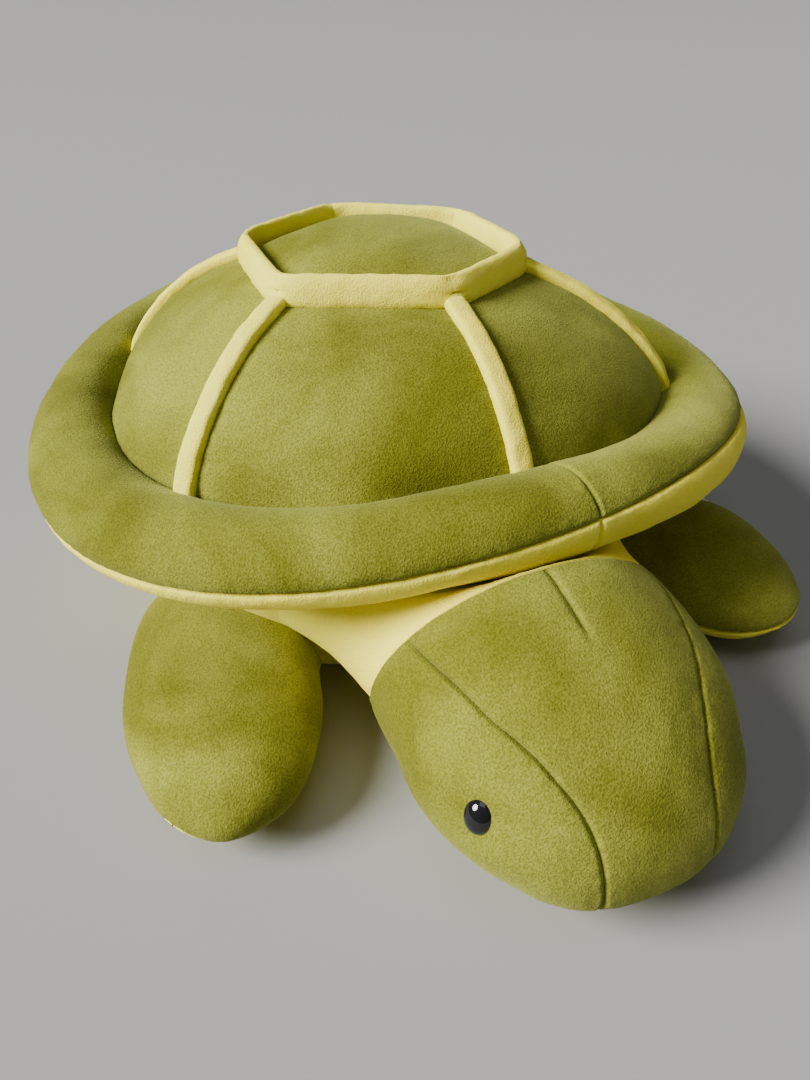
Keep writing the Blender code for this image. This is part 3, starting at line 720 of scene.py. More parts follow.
def side_surface(sector):
    """A side panel, from the top panel's seam down inside the rim roll."""
    last_row = len(DOME_SHARES) - 1

    def surface(u, v):
        row = TOP_SEAM_ROW + (last_row - TOP_SEAM_ROW) * v
        return dome_place(np.full(u.shape, sector), u, row, RIB_WIDTH * RIB_COVERED_SHARE)

    return surface


def shell_core(point):
    return Vector((0, 0, RIM_HEIGHT))


side_along = threads(DOME_RADIUS - seam_radius + DOME_TOP - DECK_HEIGHT)
top_threads = threads(seam_radius * 2)
dome_panels = [(top_surface, top_threads, top_threads)]
for sector in range(6):
    dome_panels.append((side_surface(sector), threads(DOME_RADIUS * tau / 8), side_along))
dome_form = stuff(sewn(dome_panels, shell_core), "dome")
panel("shell_top_panel", dome_form, 0, "green", "torso", name="shell_top_cloth")
for number in range(1, 7):
    panel(f"shell_side_panel_{number}", dome_form, number, "green", "torso")
dome_form.free()


def whole_dome(u, v):
    """The whole dome in six sectors, from its top to its edge."""
    sector = np.clip(np.floor(u).astype(int), 0, 5)
    return dome_place(sector, u - sector, v * (len(DOME_SHARES) - 1), 0)


whole_across = joined(*[threads(seam_radius, False)] * 6)
whole_along = np.linspace(0, 1, SHELL_FILL_THREADS)
filling("shell", [(whole_dome, whole_across, whole_along)], shell_core, "torso")


# Seam strips: six folded bands of yellow plush, sewn into the seams between the side
# panels. Each stands proud like piping, from under the collar down to the rim.
RIB_RISE = 0.0048
RIB_SINK = 0.0022
RIB_ROUNDNESS_SHARE = 0.62
RIB_NIP = 0.0085
RIB_PUCKER = 0.0003
RIB_WOBBLE_SHARE = 0.05
# Rows of the dome's table where a strip starts and ends, and a step along it
RIB_FIRST_ROW = 2.9
RIB_LAST_ROW = 7.9
RIB_STEP_ROWS = 0.02
# Threads round a strip and along it, and how many middles its faces are turned from
STRIP_THREADS = 25
RIB_THREADS = 41
RIB_CORE_SPOTS = 12


def unit(arrows):
    """Arrows of the same directions, 1 long."""
    return arrows / np.linalg.norm(arrows, axis=-1, keepdims=True)


def squared(angle, roundness):
    """A round section's width and height, pressed towards a box."""
    wide = np.sign(np.cos(angle)) * np.abs(np.cos(angle)) ** roundness
    tall = np.sign(np.sin(angle)) * np.abs(np.sin(angle)) ** roundness
    return wide, tall


def rib_surface(rib):
    """A strip's flattened tube round the seam line between two panels."""

    def line(row):
        sector = np.full(row.shape, rib % 6)
        return dome_place(sector, np.zeros(row.shape), row, 0)

    def surface(u, v):
        row = RIB_FIRST_ROW + (RIB_LAST_ROW - RIB_FIRST_ROW) * v
        middle = line(row)
        down = unit(line(row + RIB_STEP_ROWS) - line(row - RIB_STEP_ROWS))
        turn, _ = polar(middle)
        side = np.stack((np.cos(turn), np.sin(turn), 0 * turn), -1)
        out = unit(np.cross(side, down))
        from_middle = middle - np.array((0, 0, DECK_HEIGHT / 2))
        out *= np.sign(np.sum(out * from_middle, -1, keepdims=True))
        side = np.cross(down, out)
        wide, tall = squared(tau * u, RIB_ROUNDNESS_SHARE)
        half_height = (RIB_RISE + RIB_SINK) / 2
        lift = half_height * tall + (RIB_RISE - RIB_SINK) / 2
        wobble = 1 + RIB_WOBBLE_SHARE * np.sin(row * 9 + rib * 2) * np.sin(tau * u)
        places = middle + side * (RIB_WIDTH / 2 * wide)[..., None]
        return clear_of_rim(places + out * (lift * wobble)[..., None], -RIB_NIP)

    return surface


strip_across = np.linspace(0, 1, STRIP_THREADS)
strip_along = np.linspace(0, 1, RIB_THREADS)


def strip(node, surface, along, core, depth=PUCKER_DEPTH):
    """A sewn band of yellow plush with closed ends and puckered edges."""
    form = closed([(surface, strip_across, along)], core)
    fine = woven(form, 1)
    form.free()
    cloth = bmesh.new()
    cloth.from_mesh(fine)
    cloth.normal_update()
    moves = []
    for vert in cloth.verts:
        pucker = noise.noise(vert.co / PUCKER_SIZE) * depth
        lump = noise.noise(vert.co / DENT_SIZE) * DENT_DEPTH
        moves.append(vert.co + vert.normal * (pucker + lump))
    put(cloth, moves)
    cloth.to_mesh(fine)
    cloth.free()
    show(node + "_cloth", fine, PLUSH["yellow"], "torso", [node])


for rib in range(6):
    surface = rib_surface(rib)
    middle_line = [
        Vector(surface(np.array([u]), np.array([v]))[0])
        for v in np.linspace(0, 1, RIB_CORE_SPOTS)
        for u in (0.0, 0.5)
    ]

    def rib_core(point, spots=middle_line):
        return min(spots, key=lambda spot: (spot - point).length)

    strip(f"rib_strip_{rib + 1}", surface, strip_along, rib_core, RIB_PUCKER)


# Collar: a folded band of yellow plush that stands round the top panel, sewn down in
# six lengths. It is pinched and tucked where two lengths meet at a corner.
COLLAR_RADIUS = 0.0785
COLLAR_HALF_THICKNESS = 0.0048
COLLAR_LEAN = 0.0020
COLLAR_TOP = 0.2017
COLLAR_HEIGHT = 0.0165
COLLAR_CORNER_POWER = 18
COLLAR_PINCH = 0.08
COLLAR_PINCH_TURN = radians(4)
COLLAR_ROUNDNESS_SHARE = 0.78
# How thick the collar is at half its height, and how much thinner at its top
COLLAR_FULL_SHARE = 0.95
COLLAR_TAPER_SHARE = 0.15
COLLAR_LAP = 0.0020
# The tuck at a corner, on the outside under the top edge
COLLAR_TUCK = 0.0022
COLLAR_TUCK_TURN = radians(2.6)
COLLAR_TUCK_LEAN = radians(48)
COLLAR_TUCK_REACH = radians(26)


def collar_radius(turn):
    """Distance from the middle to the collar's line, a six-sided ring with round corners."""
    total = 0
    corners = all_round(RIB_ANGLES)
    for start, end in zip(corners[:-1], corners[1:]):
        middle = (start + end) / 2
        flat = COLLAR_RADIUS * cos((end - start) / 2)
        total = total + np.maximum(0, np.cos(turn - middle) / flat) ** COLLAR_CORNER_POWER
    return total ** (-1 / COLLAR_CORNER_POWER)


def collar_surface(number):
    """One length of the collar, from one corner to the next."""
    start, end = all_round(RIB_ANGLES)[number : number + 2]

    def surface(u, v):
        lap = COLLAR_LAP / COLLAR_RADIUS
        turn = start - lap + (end - start + 2 * lap) * v
        off_corner = np.minimum(turn - start, end - turn)
        pinch = 1 - COLLAR_PINCH * np.exp(-((off_corner / COLLAR_PINCH_TURN) ** 2))
        wide, tall = squared(tau * u, COLLAR_ROUNDNESS_SHARE)
        up = COLLAR_HEIGHT / 2 * tall * pinch
        lean = COLLAR_LEAN * (COLLAR_HEIGHT / 2 - up) / COLLAR_HEIGHT
        thick = COLLAR_HALF_THICKNESS * (COLLAR_FULL_SHARE - COLLAR_TAPER_SHARE * tall) * pinch
        tuck = np.exp(-((off_corner / COLLAR_TUCK_TURN) ** 2))
        tuck = tuck * np.exp(-(((tau * u - COLLAR_TUCK_LEAN) / COLLAR_TUCK_REACH) ** 2))
        radius = collar_radius(turn) + thick * wide + lean - COLLAR_TUCK * tuck
        height = COLLAR_TOP - COLLAR_HEIGHT / 2 + up
        return plan(turn, radius, height)

    return surface


def collar_core(point):
    """The nearest place on the middle line of the collar."""
    turn, _ = polar(np.array(point))
    middle = COLLAR_TOP - COLLAR_HEIGHT / 2
    return Vector(plan(turn, collar_radius(turn) + COLLAR_LEAN / 2, middle))


for number in range(6):
    surface = collar_surface(number)
    strip(f"collar_strip_{number + 1}", surface, threads(COLLAR_RADIUS), collar_core)


# Body: a bowl of yellow plush over stuffing under the shell. A flat belly panel is
# sewn to two walls, which meet in a seam at the front and the back.
BODY_RADIUS = 0.150
BODY_SLACK = 0.0010
BODY_MOST_MOVE = 0.003
BELLY_SHARE = 0.790
# Rows of the table where the belly's seam is, and where the wall's top starts to spread
BELLY_SEAM_ROW = 2.05
WALL_SPREAD_ROW = 5
WALL_SPREAD_ROWS = 1.5
# Radius share and height share
BODY_SHARES = (
    (0.000, 0.000),
    (BELLY_SHARE, 0.000),
    (0.862, 0.085),
    (0.913, 0.237),
    (0.973, 0.466),
    (1.000, 0.680),
    (0.990, 0.850),
    (0.960, 1.000),
)


def body_profile(row):
    """Radius and height of the bowl, at places counted in rows of its table."""
    out, up = through(BODY_SHARES, row)
    radius = BODY_RADIUS * np.where(row < 1, BELLY_SHARE * row, out)
    height = DECK_HEIGHT * np.where(row < 1, 0, np.maximum(0, up))
    return radius, height


def body_place(turn, row):
    """A place on the bowl, tucked under the rim roll."""
    radius, height = body_profile(row)
    top = FOOT_SPREAD * np.clip((row - WALL_SPREAD_ROW) / WALL_SPREAD_ROWS, 0, 1)
    inset = BODY_SLACK * np.clip(row - 1, 0, 1) - top
    return clear_of_rim(plan(turn, radius - inset, height), -RIM_NIP)


def wall_surface(start):
    """Half of the wall, from the belly's seam up into the shell."""
    last_row = len(BODY_SHARES) - 1

    def surface(u, v):
        return body_place(start + pi * u, BELLY_SEAM_ROW + (last_row - BELLY_SEAM_ROW) * v)

    return surface


def belly_surface(u, v):
    """The flat round belly, from its middle to its seam."""
    return body_place(pi * u, BELLY_SEAM_ROW * v)


def body_core(point):
    return Vector((0, 0, DECK_HEIGHT / 2))


wall_across = threads(pi * BODY_RADIUS)
wall_along = threads(DECK_HEIGHT)
belly_along = 1 - threads_to_point(BODY_RADIUS)[::-1]
body_panels = [
    (wall_surface(0), wall_across, wall_along),
    (wall_surface(-pi), wall_across, wall_along),
    (belly_surface, joined(wall_across, wall_across), belly_along),
]
body_form = stuff(sewn(body_panels, body_core), "body", BODY_MOST_MOVE)


def rest_on_floor(cloth):
    """Keeps the belly flat on the floor."""
    for vert in cloth.verts:
        vert.co.z = max(vert.co.z, 0.0)


rest_on_floor(body_form)
# The belly is flat, so it needs a coarser mesh than the walls
body_pieces = {"body_wall_left": FINE_LEVELS, "body_wall_right": FINE_LEVELS, "belly_panel": 1}
for number, (node, levels) in enumerate(body_pieces.items()):
    panel(node, body_form, number, "yellow", "torso", rest_on_floor, levels=levels)
body_form.free()
filling("body", body_panels, body_core, "torso")


# Head: an egg of plush over stuffing that hangs from the shell by a yellow sleeve.
# A wide green crown panel runs from the neck over the nose, with a dart in its middle,
# between two green cheeks, and a pale yellow panel closes it underneath.
HEAD_ASIDE = -0.004
HEAD_BACK = 0.165
HEAD_WIDEST = 0.215
HEAD_NOSE = 0.305
HEAD_HALF_WIDTH = 0.078
HEAD_NARROWING = 0.004
HEAD_MIDDLE_HEIGHT = 0.057
HEAD_NOSE_HEIGHT = 0.033
HEAD_TOP_HEIGHT = 0.119
HEAD_UNDERSIDE = 0.004
HEAD_TUCK = 0.020
HEAD_FULLNESS_SHARE = 2.3
CHIN_SEAM_HEIGHT = 0.018
CHIN_SEAM_SLOPE = radians(9.6)
# How far along the head, and half the crown's width there
CROWN_SEAM_SHARES = (
    (0.00, 0.80),
    (0.24, 0.78),
    (0.56, 0.63),
    (0.78, 0.44),
    (0.90, 0.35),
    (1.10, 0.31),
)
NECK_FORWARD = 0.199
NECK_HEIGHT = 0.116
NECK_SLOPE = radians(13)
HEAD_SLACK = 0.0006
HEAD_MOST_MOVE = 0.004
HEAD_GAP = 0.0015
CROWN_WIDTH_SHARE = 1.3
CROWN_LENGTH = 0.17
CHIN_LENGTH = 0.12
# Middles of the head, at the neck and further forward, that its panels are laid around
NECK_MIDDLE_DROP = 0.052
HEAD_MIDDLE_FORWARD = 0.228
HEAD_MIDDLE_UP = 0.047
DART_FORWARD = 0.199
DART_LENGTH = 0.042
DART_DEPTH = 0.0023
DART_WIDTH = 0.0012
DART_FADE_SHARE = 0.25
DART_REACH = 0.01
# Steps in which a place on the head, the crown's width and a seam are found
FIND_STEPS = 24
CROWN_STEPS = 5
SEAM_STEPS = 200
HEAD_FILL_AROUND = 49
HEAD_FILL_ALONG = 17
# The pitches between which the crown's back and front edges are looked for
BACK_PITCHES = (radians(60), radians(140))
FRONT_PITCHES = (radians(-60), radians(30))


def head_section(forward):
    """Half width, rise and drop from the centre, and centre height, at distances forward."""
    forward = np.clip(forward, HEAD_BACK, HEAD_NOSE)
    reach = (forward - HEAD_BACK) / (HEAD_NOSE - HEAD_BACK)
    past = np.maximum(0, (forward - HEAD_WIDEST) / (HEAD_NOSE - HEAD_WIDEST))
    before = np.maximum(0, (HEAD_WIDEST - forward) / (HEAD_WIDEST - HEAD_BACK))
    power = HEAD_FULLNESS_SHARE
    round_off = np.maximum(0, 1 - past**power) ** (1 / power)
    slope_off = np.maximum(0, 1 - reach**power) ** (1 / power)
    centre = HEAD_MIDDLE_HEIGHT + (HEAD_NOSE_HEIGHT - HEAD_MIDDLE_HEIGHT) * reach**2
    half_width = HEAD_HALF_WIDTH * round_off - HEAD_NARROWING * before**2
    rise = (HEAD_TOP_HEIGHT - HEAD_MIDDLE_HEIGHT) * slope_off
    drop = (centre - HEAD_UNDERSIDE) * round_off - HEAD_TUCK * before**2
    return half_width, rise, drop, centre


def out_of_head(points):
    """Below 0 inside the head and above it outside."""
    half_width, rise, drop, centre = head_section(-points[..., 1])
    up = points[..., 2] - centre
    tall = np.where(up > 0, rise, drop)
    width_share = (points[..., 0] - HEAD_ASIDE) / np.maximum(half_width - HEAD_SLACK, WELD)
    height_share = up / np.maximum(tall - HEAD_SLACK, WELD)
    inside = width_share**2 + height_share**2 - 1
    return np.where(-points[..., 1] > HEAD_NOSE - HEAD_SLACK, 1, inside)


def from_inside(origin, towards):
    """Where lines from places inside the head, in some directions, leave it."""
    heading = unit(towards)
    near = np.zeros(heading.shape[:-1])
    far = np.full(heading.shape[:-1], HEAD_NOSE)
    for _ in range(FIND_STEPS):
        middle = (near + far) / 2
        outside = out_of_head(origin + heading * middle[..., None]) > 0
        far = np.where(outside, middle, far)
        near = np.where(outside, near, middle)
    return origin + heading * near[..., None]


def chin_height(forward):
    """Height of the yellow panel's seam, which slopes down to the nose."""
    return CHIN_SEAM_HEIGHT + (HEAD_NOSE - forward) * tan(CHIN_SEAM_SLOPE)


def neck_forward(height):
    """How far forward the neck's sloping plane is, at a height."""
    return NECK_FORWARD + (height - NECK_HEIGHT) * tan(NECK_SLOPE)


def between(low, high, beyond):
    """The place between two limits where a test turns true."""
    for _ in range(FIND_STEPS):
        middle = (low + high) / 2
        past = beyond(middle)
        high = np.where(past, middle, high)
        low = np.where(past, low, middle)
    return low


neck_middle = np.array(
    (HEAD_ASIDE, -neck_forward(NECK_HEIGHT - NECK_MIDDLE_DROP), NECK_HEIGHT - NECK_MIDDLE_DROP)
)
head_middle = np.array((HEAD_ASIDE, -HEAD_MIDDLE_FORWARD, HEAD_MIDDLE_UP))


def middles(share):
    """Places along the line of the head's middles, from the neck's."""
    return neck_middle + (head_middle - neck_middle) * share[..., None]


def skin_between(low, high, u, v):
    """The head's skin from one line to another, found from the head's middles."""
    found = from_inside(middles(v), low + (high - low) * u[..., None] - middles(v))
    found = np.where((u < WELD)[..., None], low, found)
    return np.where((u > 1 - WELD)[..., None], high, found)


def chin_seam(share, side):
    """The seam of the yellow panel, from the neck to the front of the nose."""
    start = between(HEAD_BACK, HEAD_NOSE, lambda f: f > neck_forward(chin_height(f)))

    def past_nose(forward):
        spot = np.array((HEAD_ASIDE, -float(forward), chin_height(float(forward))))
        return out_of_head(spot) > 0

    front = between(HEAD_MIDDLE_FORWARD, HEAD_NOSE, past_nose)
    forward = start + (front - start) * np.sin(pi / 2 * share)
    half_width, _, drop, centre = head_section(forward)
    up = (chin_height(forward) - centre) / np.maximum(drop - HEAD_SLACK, WELD)
    out = np.maximum(half_width - HEAD_SLACK, 0) * np.sqrt(np.maximum(0, 1 - up**2))
    return np.stack((HEAD_ASIDE + side * out, -forward, chin_height(forward)), -1)


def crown_half_width(forward):
    """Half the crown panel's width, at distances forward."""
    shares = np.array(CROWN_SEAM_SHARES)
    along = (forward - HEAD_BACK) / (HEAD_NOSE - HEAD_BACK)
    row = np.interp(along, shares[:, 0], np.arange(len(shares)))
    return HEAD_HALF_WIDTH * through(CROWN_SEAM_SHARES, row)[1]


def over_head(across, pitch):
    """Where a line rising at a pitch, level with the head's middle, leaves its surface."""
    origin = head_middle + np.stack((across, 0 * across, 0 * across), -1)
    return from_inside(origin, np.stack((0 * pitch, -np.cos(pitch), np.sin(pitch)), -1))


def crown_surface(u, v):
    """The crown panel, from the neck's edge over the nose to the yellow panel."""
    across = crown_half_width((HEAD_BACK + HEAD_NOSE) / 2) * (2 * u - 1)
    for _ in range(CROWN_STEPS):
        aside = across

        def behind_neck(pitch):
            spot = over_head(aside, pitch)
            return -spot[..., 1] < neck_forward(spot[..., 2])

        def above_chin(pitch):
            spot = over_head(aside, pitch)
            return spot[..., 2] > chin_height(-spot[..., 1])

        back = between(*(np.full(u.shape, pitch) for pitch in BACK_PITCHES), behind_neck)
        front = between(*(np.full(u.shape, pitch) for pitch in FRONT_PITCHES), above_chin)
        pitch = back + (front - back) * v
        across = crown_half_width(-over_head(across, pitch)[..., 1]) * (2 * u - 1)
    return clear_of_rim(over_head(across, pitch), HEAD_GAP)


def cheek_surface(side):
    """A cheek panel, between the yellow panel's seam and the crown's."""

    def surface(u, v):
        rows, row = np.unique(v, return_inverse=True)
        line = crown_surface(np.full(rows.shape, 0.5 + side / 2), rows)
        shares = np.linspace(0, 1, SEAM_STEPS)
        seam = chin_seam(shares, side)
        stop = shares[np.argmin(np.linalg.norm(seam - line[-1], axis=-1))]
        found = skin_between(chin_seam(v * stop, side), line[row], u, v)
        return clear_of_rim(found, HEAD_GAP)

    return surface


def chin_surface(u, v):
    """The yellow panel under the head, which ends in a point at the nose."""
    left = chin_seam(v, 1)
    found = skin_between(chin_seam(v, -1), left, u, v)
    return np.where((v > 1 - WELD)[..., None], left, found)


def head_core(point):
    return Vector(head_middle)


crown_across = threads(HEAD_HALF_WIDTH * CROWN_WIDTH_SHARE)
cheek_across = threads(HEAD_HALF_WIDTH)
head_along = threads(CROWN_LENGTH)
head_panels = [
    (crown_surface, crown_across, head_along),
    (cheek_surface(1), cheek_across, head_along),
    (cheek_surface(-1), cheek_across, head_along),
    (chin_surface, threads(HEAD_HALF_WIDTH * 2), threads(CHIN_LENGTH)),
]
head_form = stuff(sewn(head_panels, head_core), "head", HEAD_MOST_MOVE)


def sew_dart(cloth):
    """Presses the dart's short straight seam into the crown."""
    for vert in cloth.verts:
        along = -(vert.co.y + DART_FORWARD) / DART_LENGTH
        off = abs(vert.co.x - HEAD_ASIDE)
        share = min(1, (1 - along) / DART_FADE_SHARE)
        if off < DART_REACH and along < 1 and vert.co.z > HEAD_MIDDLE_HEIGHT:
            vert.co -= vert.normal * DART_DEPTH * share * exp(-((off / DART_WIDTH) ** 2))


panel("head_crown", head_form, 0, "green", "head", sew_dart)
cheek_pieces = {
    "left": panel("head_side_left", head_form, 1, "green", "head"),
    "right": panel("head_side_right", head_form, 2, "green", "head"),
}
panel("head_chin", head_form, 3, "yellow", "head")
head_form.free()


def head_ring(turn, share):
    """The whole head round its length, from the neck's plane to the nose."""
    level = np.stack((np.cos(turn), 0 * turn, np.sin(turn)), -1)
    slope = level * np.array((1, 0, cos(NECK_SLOPE)))
    slope[..., 1] = -np.sin(turn) * sin(NECK_SLOPE)
    pitch = (pi / 2) * share
    heading = slope * np.cos(pitch)[..., None]
    heading[..., 1] -= np.sin(pitch)
    return from_inside(middles(share), heading)


def whole_head(u, v):
    return head_ring(tau * u, v)


fill_around = np.linspace(0, 1, HEAD_FILL_AROUND)
whole_head_panels = [(whole_head, fill_around, np.linspace(0, 1, HEAD_FILL_ALONG))]
head_fill = filling("head", whole_head_panels, head_core, "head")


# Neck: a sleeve of the body's yellow plush that gathers in to the head's back edge,
# where it is sewn.
NECK_FLARE = 1.34
NECK_TUCK = 0.0012
NECK_GAP = 0.0008
NECK_LENGTH = 0.050
NECK_THREADS = 73
NECK_STEPS = 8
NECK_WIDEST_SHARE = 0.95
NECK_DROP = 0.004
NECK_SQUASH_SHARE = 0.93
NECK_WALL_LOW = 0.004
NECK_WALL_HIGH = 0.104
# How far the sleeve runs straight as it leaves the head, and as it meets the wall
NECK_LEAVE = 0.040
NECK_ARRIVE_BACK = 0.012
NECK_ARRIVE_OUT = 0.030


def body_front(across, height):
    """The place on the body's front wall at a distance across and a height."""
    rows = np.linspace(1, len(BODY_SHARES) - 1, SEAM_STEPS)
    radii, heights = body_profile(rows)
    radius = np.interp(height, heights, radii)
    turn = 0 * across
    for _ in range(NECK_STEPS):
        wide = radius * (1 + EGG_SHARE * radius * np.cos(turn) / RIM_RADIUS)
        turn = np.arcsin(np.clip(across / wide, -NECK_WIDEST_SHARE, NECK_WIDEST_SHARE))
    return plan(turn, radius, height)


def neck_surface(u, v):
    """The sleeve, from just inside the head's back edge to the body's wall."""
    edge = head_ring(-tau * u, np.zeros(u.shape))
    inner = neck_middle + (edge - neck_middle) * (1 - NECK_TUCK / HEAD_HALF_WIDTH)
    wide = (edge[..., 0] - HEAD_ASIDE) * NECK_FLARE
    up = edge[..., 2] - neck_middle[2]
    height = neck_middle[2] - NECK_DROP + up * NECK_SQUASH_SHARE
    height = np.clip(height, NECK_WALL_LOW, NECK_WALL_HIGH)
    wall = body_front(wide + HEAD_ASIDE, height)
    outward = unit(edge - neck_middle)
    leave = np.array((0, NECK_LEAVE, 0))
    arrive = outward * np.array((1, 0, 1)) * NECK_ARRIVE_OUT
    arrive = arrive + np.array((0, NECK_ARRIVE_BACK, 0))
    t = v[..., None]
    spot = (2 * t**3 - 3 * t**2 + 1) * inner + (t**3 - 2 * t**2 + t) * leave
    spot = spot + (3 * t**2 - 2 * t**3) * wall + (t**3 - t**2) * arrive
    return clear_of_rim(spot, NECK_GAP)


def neck_core(point):
    return Vector((HEAD_ASIDE, point.y, neck_middle[2]))


neck_panels = [(neck_surface, np.linspace(0, 1, NECK_THREADS), threads(NECK_LENGTH))]
neck_form = sewn(neck_panels, neck_core)
neck = panel("neck_sleeve", neck_form, 0, "yellow", None, depth=0.0)
neck_form.free()
neck_fill = filling("neck", neck_panels, neck_core, None)
for piece in (neck, neck_fill):
    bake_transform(piece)


# Eyes: oval domes of black plastic, polished, each on a shank that a washer holds
# behind the cover. Each sits in a small dimple of its cheek, the left one lower.
EYE_FORWARD = 0.2645
EYE_HEIGHT = 0.0617
EYE_HALF_WIDTH = 0.0060
EYE_HALF_HEIGHT = 0.0073
EYE_DOME = 0.0037
EYE_SEAT = 0.0008
# Depth and reach of each eye's dimple, and how much lower the eye is sewn
DIMPLES = {"left": (0.0030, 0.0130, 0.0105), "right": (0.0018, 0.0130, 0.0)}
EYE_FILL_SPARE = 0.0020
EYE_FILL_REACH_SHARE = 1.2
EYE_TILT = radians(8)
EYE_BACK_SHARE = 0.35
# How far aside the cheek is looked at from, and how far round an eye it is felt
EYE_LOOK_FROM = 0.2
EYE_FEEL = 0.008
EYE_SHADE = (0.004, 0.004, 0.005, 1)
EYE_COLOUR = (0.010, 0.010, 0.012, 1)


def eye_plastic(name):
    """Polished black plastic with a clear hard coat and the finest scratches."""
    look, nodes, links, shader, place = new_look(name)
    cloud = speckle(nodes, links, place, 300, 2)
    colour = blended(nodes, links, cloud, EYE_SHADE, EYE_COLOUR)
    links.new(colour, shader.inputs["Base Color"])
    haze = nodes.new("ShaderNodeMapRange")
    haze.inputs["To Min"].default_value = 0.06
    haze.inputs["To Max"].default_value = 0.12
    links.new(speckle(nodes, links, place, 900, 4), haze.inputs["Value"])
    links.new(haze.outputs["Result"], shader.inputs["Roughness"])
    shader.inputs["Specular IOR Level"].default_value = 0.3
    shader.inputs["Coat Weight"].default_value = 0.6
    shader.inputs["Coat Roughness"].default_value = 0.03
    return look


EYE_BLACK = eye_plastic("eye_plastic")


def press_in(piece, spot, depth, reach):
    """Presses a dimple into a cover or its stuffing."""
    for vert in piece.data.vertices:
        off = (vert.co - spot).length
        if off < reach * 2:
            dent = depth * exp(-((off / reach) ** 2))
            vert.co += (Vector(head_middle) - vert.co).normalized() * dent


def seat_of_eye(cheek, sign, lower):
    """The place on a cheek where its eye goes, and a way to feel the cheek round it."""
    skin = BVHTree.FromObject(cheek, bpy.context.evaluated_depsgraph_get())
    beside = Vector((HEAD_ASIDE + sign * EYE_LOOK_FROM, -EYE_FORWARD, EYE_HEIGHT - lower))
    return skin.ray_cast(beside, Vector((-sign, 0, 0)))[0], skin


for side, sign in (("left", 1), ("right", -1)):
    cheek = cheek_pieces[side]
    depth, reach, lower = DIMPLES[side]
    spot, _ = seat_of_eye(cheek, sign, lower)
    press_in(head_fill, spot, depth + EYE_FILL_SPARE, reach * EYE_FILL_REACH_SHARE)
    press_in(cheek, spot, depth, reach)
    bpy.context.view_layer.update()
    spot, skin = seat_of_eye(cheek, sign, lower)
    around = [
        skin.find_nearest(spot + Vector((0, along, up)))[1]
        for along in (-EYE_FEEL, 0, EYE_FEEL)
        for up in (-EYE_FEEL, 0, EYE_FEEL)
    ]
    outward = sum(around, Vector()).normalized()
    along = Vector((0, 0, 1)).cross(outward).normalized()
    axes = Matrix((along, outward.cross(along), outward)).transposed().to_4x4()
    dome = bmesh.new()
    bmesh.ops.create_uvsphere(dome, u_segments=48, v_segments=32, radius=1)
    low = [vert for vert in dome.verts if vert.co.z < 0]
    bmesh.ops.scale(dome, vec=(1, 1, EYE_BACK_SHARE), verts=low)
    bmesh.ops.scale(dome, vec=(EYE_HALF_WIDTH, EYE_HALF_HEIGHT, EYE_DOME), verts=dome.verts)
    seat = Matrix.Translation(spot - outward * EYE_SEAT) @ axes
    tilt = Matrix.Rotation(-sign * EYE_TILT, 4, "Z")
    bmesh.ops.transform(dome, matrix=seat @ tilt, verts=dome.verts)
    eye_mesh = bpy.data.meshes.new("eye_" + side)
    dome.to_mesh(eye_mesh)
    dome.free()
    show(f"eye_{side}_dome", eye_mesh, EYE_BLACK, "head", ["eye_" + side])


# Flippers and tail: padded leaves of plush, green above and yellow below, turned out
# through the root and sewn to the body's wall by it.
FLIPPER_LENGTH = 0.103
FLIPPER_SPREAD = 0.117
FLIPPER_HALF_THICKNESS = 0.024
FRONT_LEFT_LIFT = radians(7)
FRONT_LEFT_TWIST = radians(8)
FRONT_RIGHT_WRAP = radians(30)
FLIPPER_DROOP = radians(2)
REAR_SIZE_SHARE = 0.80
TAIL_LENGTH = 0.046
TAIL_SPREAD = 0.040
TAIL_HALF_THICKNESS = 0.012
LIMB_MOST_MOVE = 0.005
# The way round and along a limb's cover, by its spread and its length
AROUND_SHARE = 1.15
ALONG_SHARE = 1.2
# The middle of a limb, as shares forward along it and aside
LIMB_MIDDLE_SHARES = (0.45, 0.1)
# Where the stuffing starts, clear of the body when the limb is up
FILL_START_SHARE = 0.06
# Distance from the root, rear edge, front edge and thickness
FLIPPER_SHARES = (
    (-0.095, -0.44, 0.42, 0.82),
    (0.00, -0.50, 0.47, 0.90),
    (0.16, -0.46, 0.58, 0.98),
    (0.40, -0.33, 0.69, 0.98),
    (0.64, -0.15, 0.74, 0.95),
    (0.83, 0.05, 0.69, 0.68),
    (0.95, 0.24, 0.60, 0.36),
    (1.00, 0.43, 0.43, 0.00),
)
TAIL_SHARES = (
    (-0.17, -0.42, 0.42, 0.42),
    (0.00, -0.50, 0.50, 0.66),
    (0.25, -0.52, 0.52, 1.00),
    (0.55, -0.40, 0.40, 0.88),
    (0.82, -0.22, 0.22, 0.55),
    (1.00, 0.00, 0.00, 0.00),
)


def leaf_surface(size, pivot, mirror, wrap, below):
    """One side of a padded leaf, from its root to its tip."""
    length, spread_size, half_thickness, shares = size
    shares = np.array(shares)
    centres = (shares[:, 1] + shares[:, 2]) / 2
    halves = (shares[:, 2] - shares[:, 1]) / 2
    rows = np.stack((shares[:, 0], centres, halves, shares[:, 3]), -1)
    beyond = rows[-2] * np.array((1, 1, -1, -1))

    def surface(u, v):
        out, middle, half, thick = through(rows, v * (len(rows) - 1), after=beyond)
        lean = -wrap - (pi - 2 * wrap) * u if below else -wrap + (pi + 2 * wrap) * u
        y = spread_size * (middle * mirror + half * np.cos(lean))
        spots = np.stack((length * out, y, half_thickness * thick * np.sin(lean)), -1)
        return spots @ np.array(pivot.to_3x3()).T + np.array(pivot.translation)

    return surface


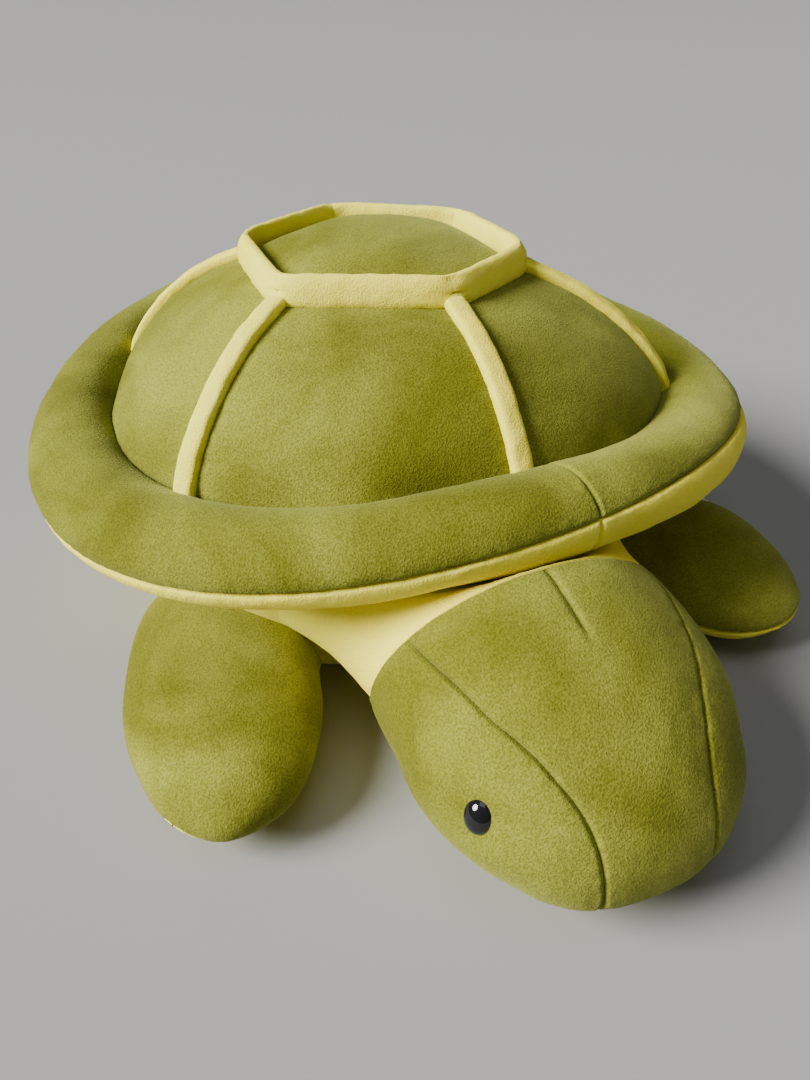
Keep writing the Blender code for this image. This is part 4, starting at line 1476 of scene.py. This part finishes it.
front_size = (FLIPPER_LENGTH, FLIPPER_SPREAD, FLIPPER_HALF_THICKNESS, FLIPPER_SHARES)
rear_size = (
    FLIPPER_LENGTH * REAR_SIZE_SHARE,
    FLIPPER_SPREAD * REAR_SIZE_SHARE,
    FLIPPER_HALF_THICKNESS * REAR_SIZE_SHARE,
    FLIPPER_SHARES,
)
tail_size = (TAIL_LENGTH, TAIL_SPREAD, TAIL_HALF_THICKNESS, TAIL_SHARES)
limbs = {
    "front_left_flipper": (FRONT_LEFT_LIFT, FRONT_LEFT_TWIST, 0, front_size, -1),
    "front_right_flipper": (-FLIPPER_DROOP, 0, FRONT_RIGHT_WRAP, front_size, 1),
    "rear_left_flipper": (-FLIPPER_DROOP, 0, 0, rear_size, -1),
    "rear_right_flipper": (-FLIPPER_DROOP, 0, 0, rear_size, 1),
    "tail": (-FLIPPER_DROOP, 0, 0, tail_size, -1),
}
joints = {joint["child"]: joint for joint in frame["joints"]}
for name, (lift, twist, wrap, size, mirror) in limbs.items():
    joint = joints[name]
    outward = Vector((0, 0, 1)).cross(Vector(joint["axis"])).normalized()
    hinge = Vector(joint["pos_m"])
    axes = Matrix((outward, Vector((0, 0, 1)).cross(outward), Vector((0, 0, 1)))).transposed()
    lifted = Matrix.Rotation(-lift, 4, "Y") @ Matrix.Rotation(twist, 4, "X")
    pivot = Matrix.Translation(hinge) @ axes.to_4x4() @ lifted
    length, breadth = size[:2]
    around = threads(breadth * AROUND_SHARE)
    along = threads_to_point(length * ALONG_SHARE)
    leaf_panels = [
        (leaf_surface(size, pivot, mirror, wrap, False), around, along),
        (leaf_surface(size, pivot, mirror, wrap, True), around, along),
    ]
    forward, aside = LIMB_MIDDLE_SHARES
    middle = pivot @ Vector((length * forward, breadth * aside * mirror, 0))

    def leaf_core(point, spot=middle):
        return spot

    leaf = stuff(sewn(leaf_panels, leaf_core), name, LIMB_MOST_MOVE)
    for number, (side, colour) in enumerate((("upper", "green"), ("lower", "yellow"))):
        cover = panel(f"{name}_{side}", leaf, number, colour, None)
        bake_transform(cover)
    leaf.free()
    inner_size = size[:3] + (((FILL_START_SHARE, *size[3][1][1:]), *size[3][2:]),)
    inner_panels = [
        (leaf_surface(inner_size, pivot, mirror, 0, below), around, along)
        for below in (False, True)
    ]
    filling(name, inner_panels, leaf_core, name)


# Washers: discs of natural plastic that are pushed on to the eyes' shanks inside the
# head. They keep their CAD shape.
WASHER_SHADE = (0.62, 0.61, 0.56, 1)
WASHER_COLOUR = (0.74, 0.73, 0.69, 1)


def washer_plastic(name):
    """Natural nylon, faintly mottled."""
    look, nodes, links, shader, place = new_look(name)
    cloud = speckle(nodes, links, place, 240, 3)
    colour = blended(nodes, links, cloud, WASHER_SHADE, WASHER_COLOUR)
    links.new(colour, shader.inputs["Base Color"])
    shader.inputs["Roughness"].default_value = 0.45
    return look


WASHER_LOOK = washer_plastic("washer_plastic")
for side in ("left", "right"):
    washer = frame["nodes"]["eye_washer_" + side]
    washer.data.materials.clear()
    washer.data.materials.append(WASHER_LOOK)
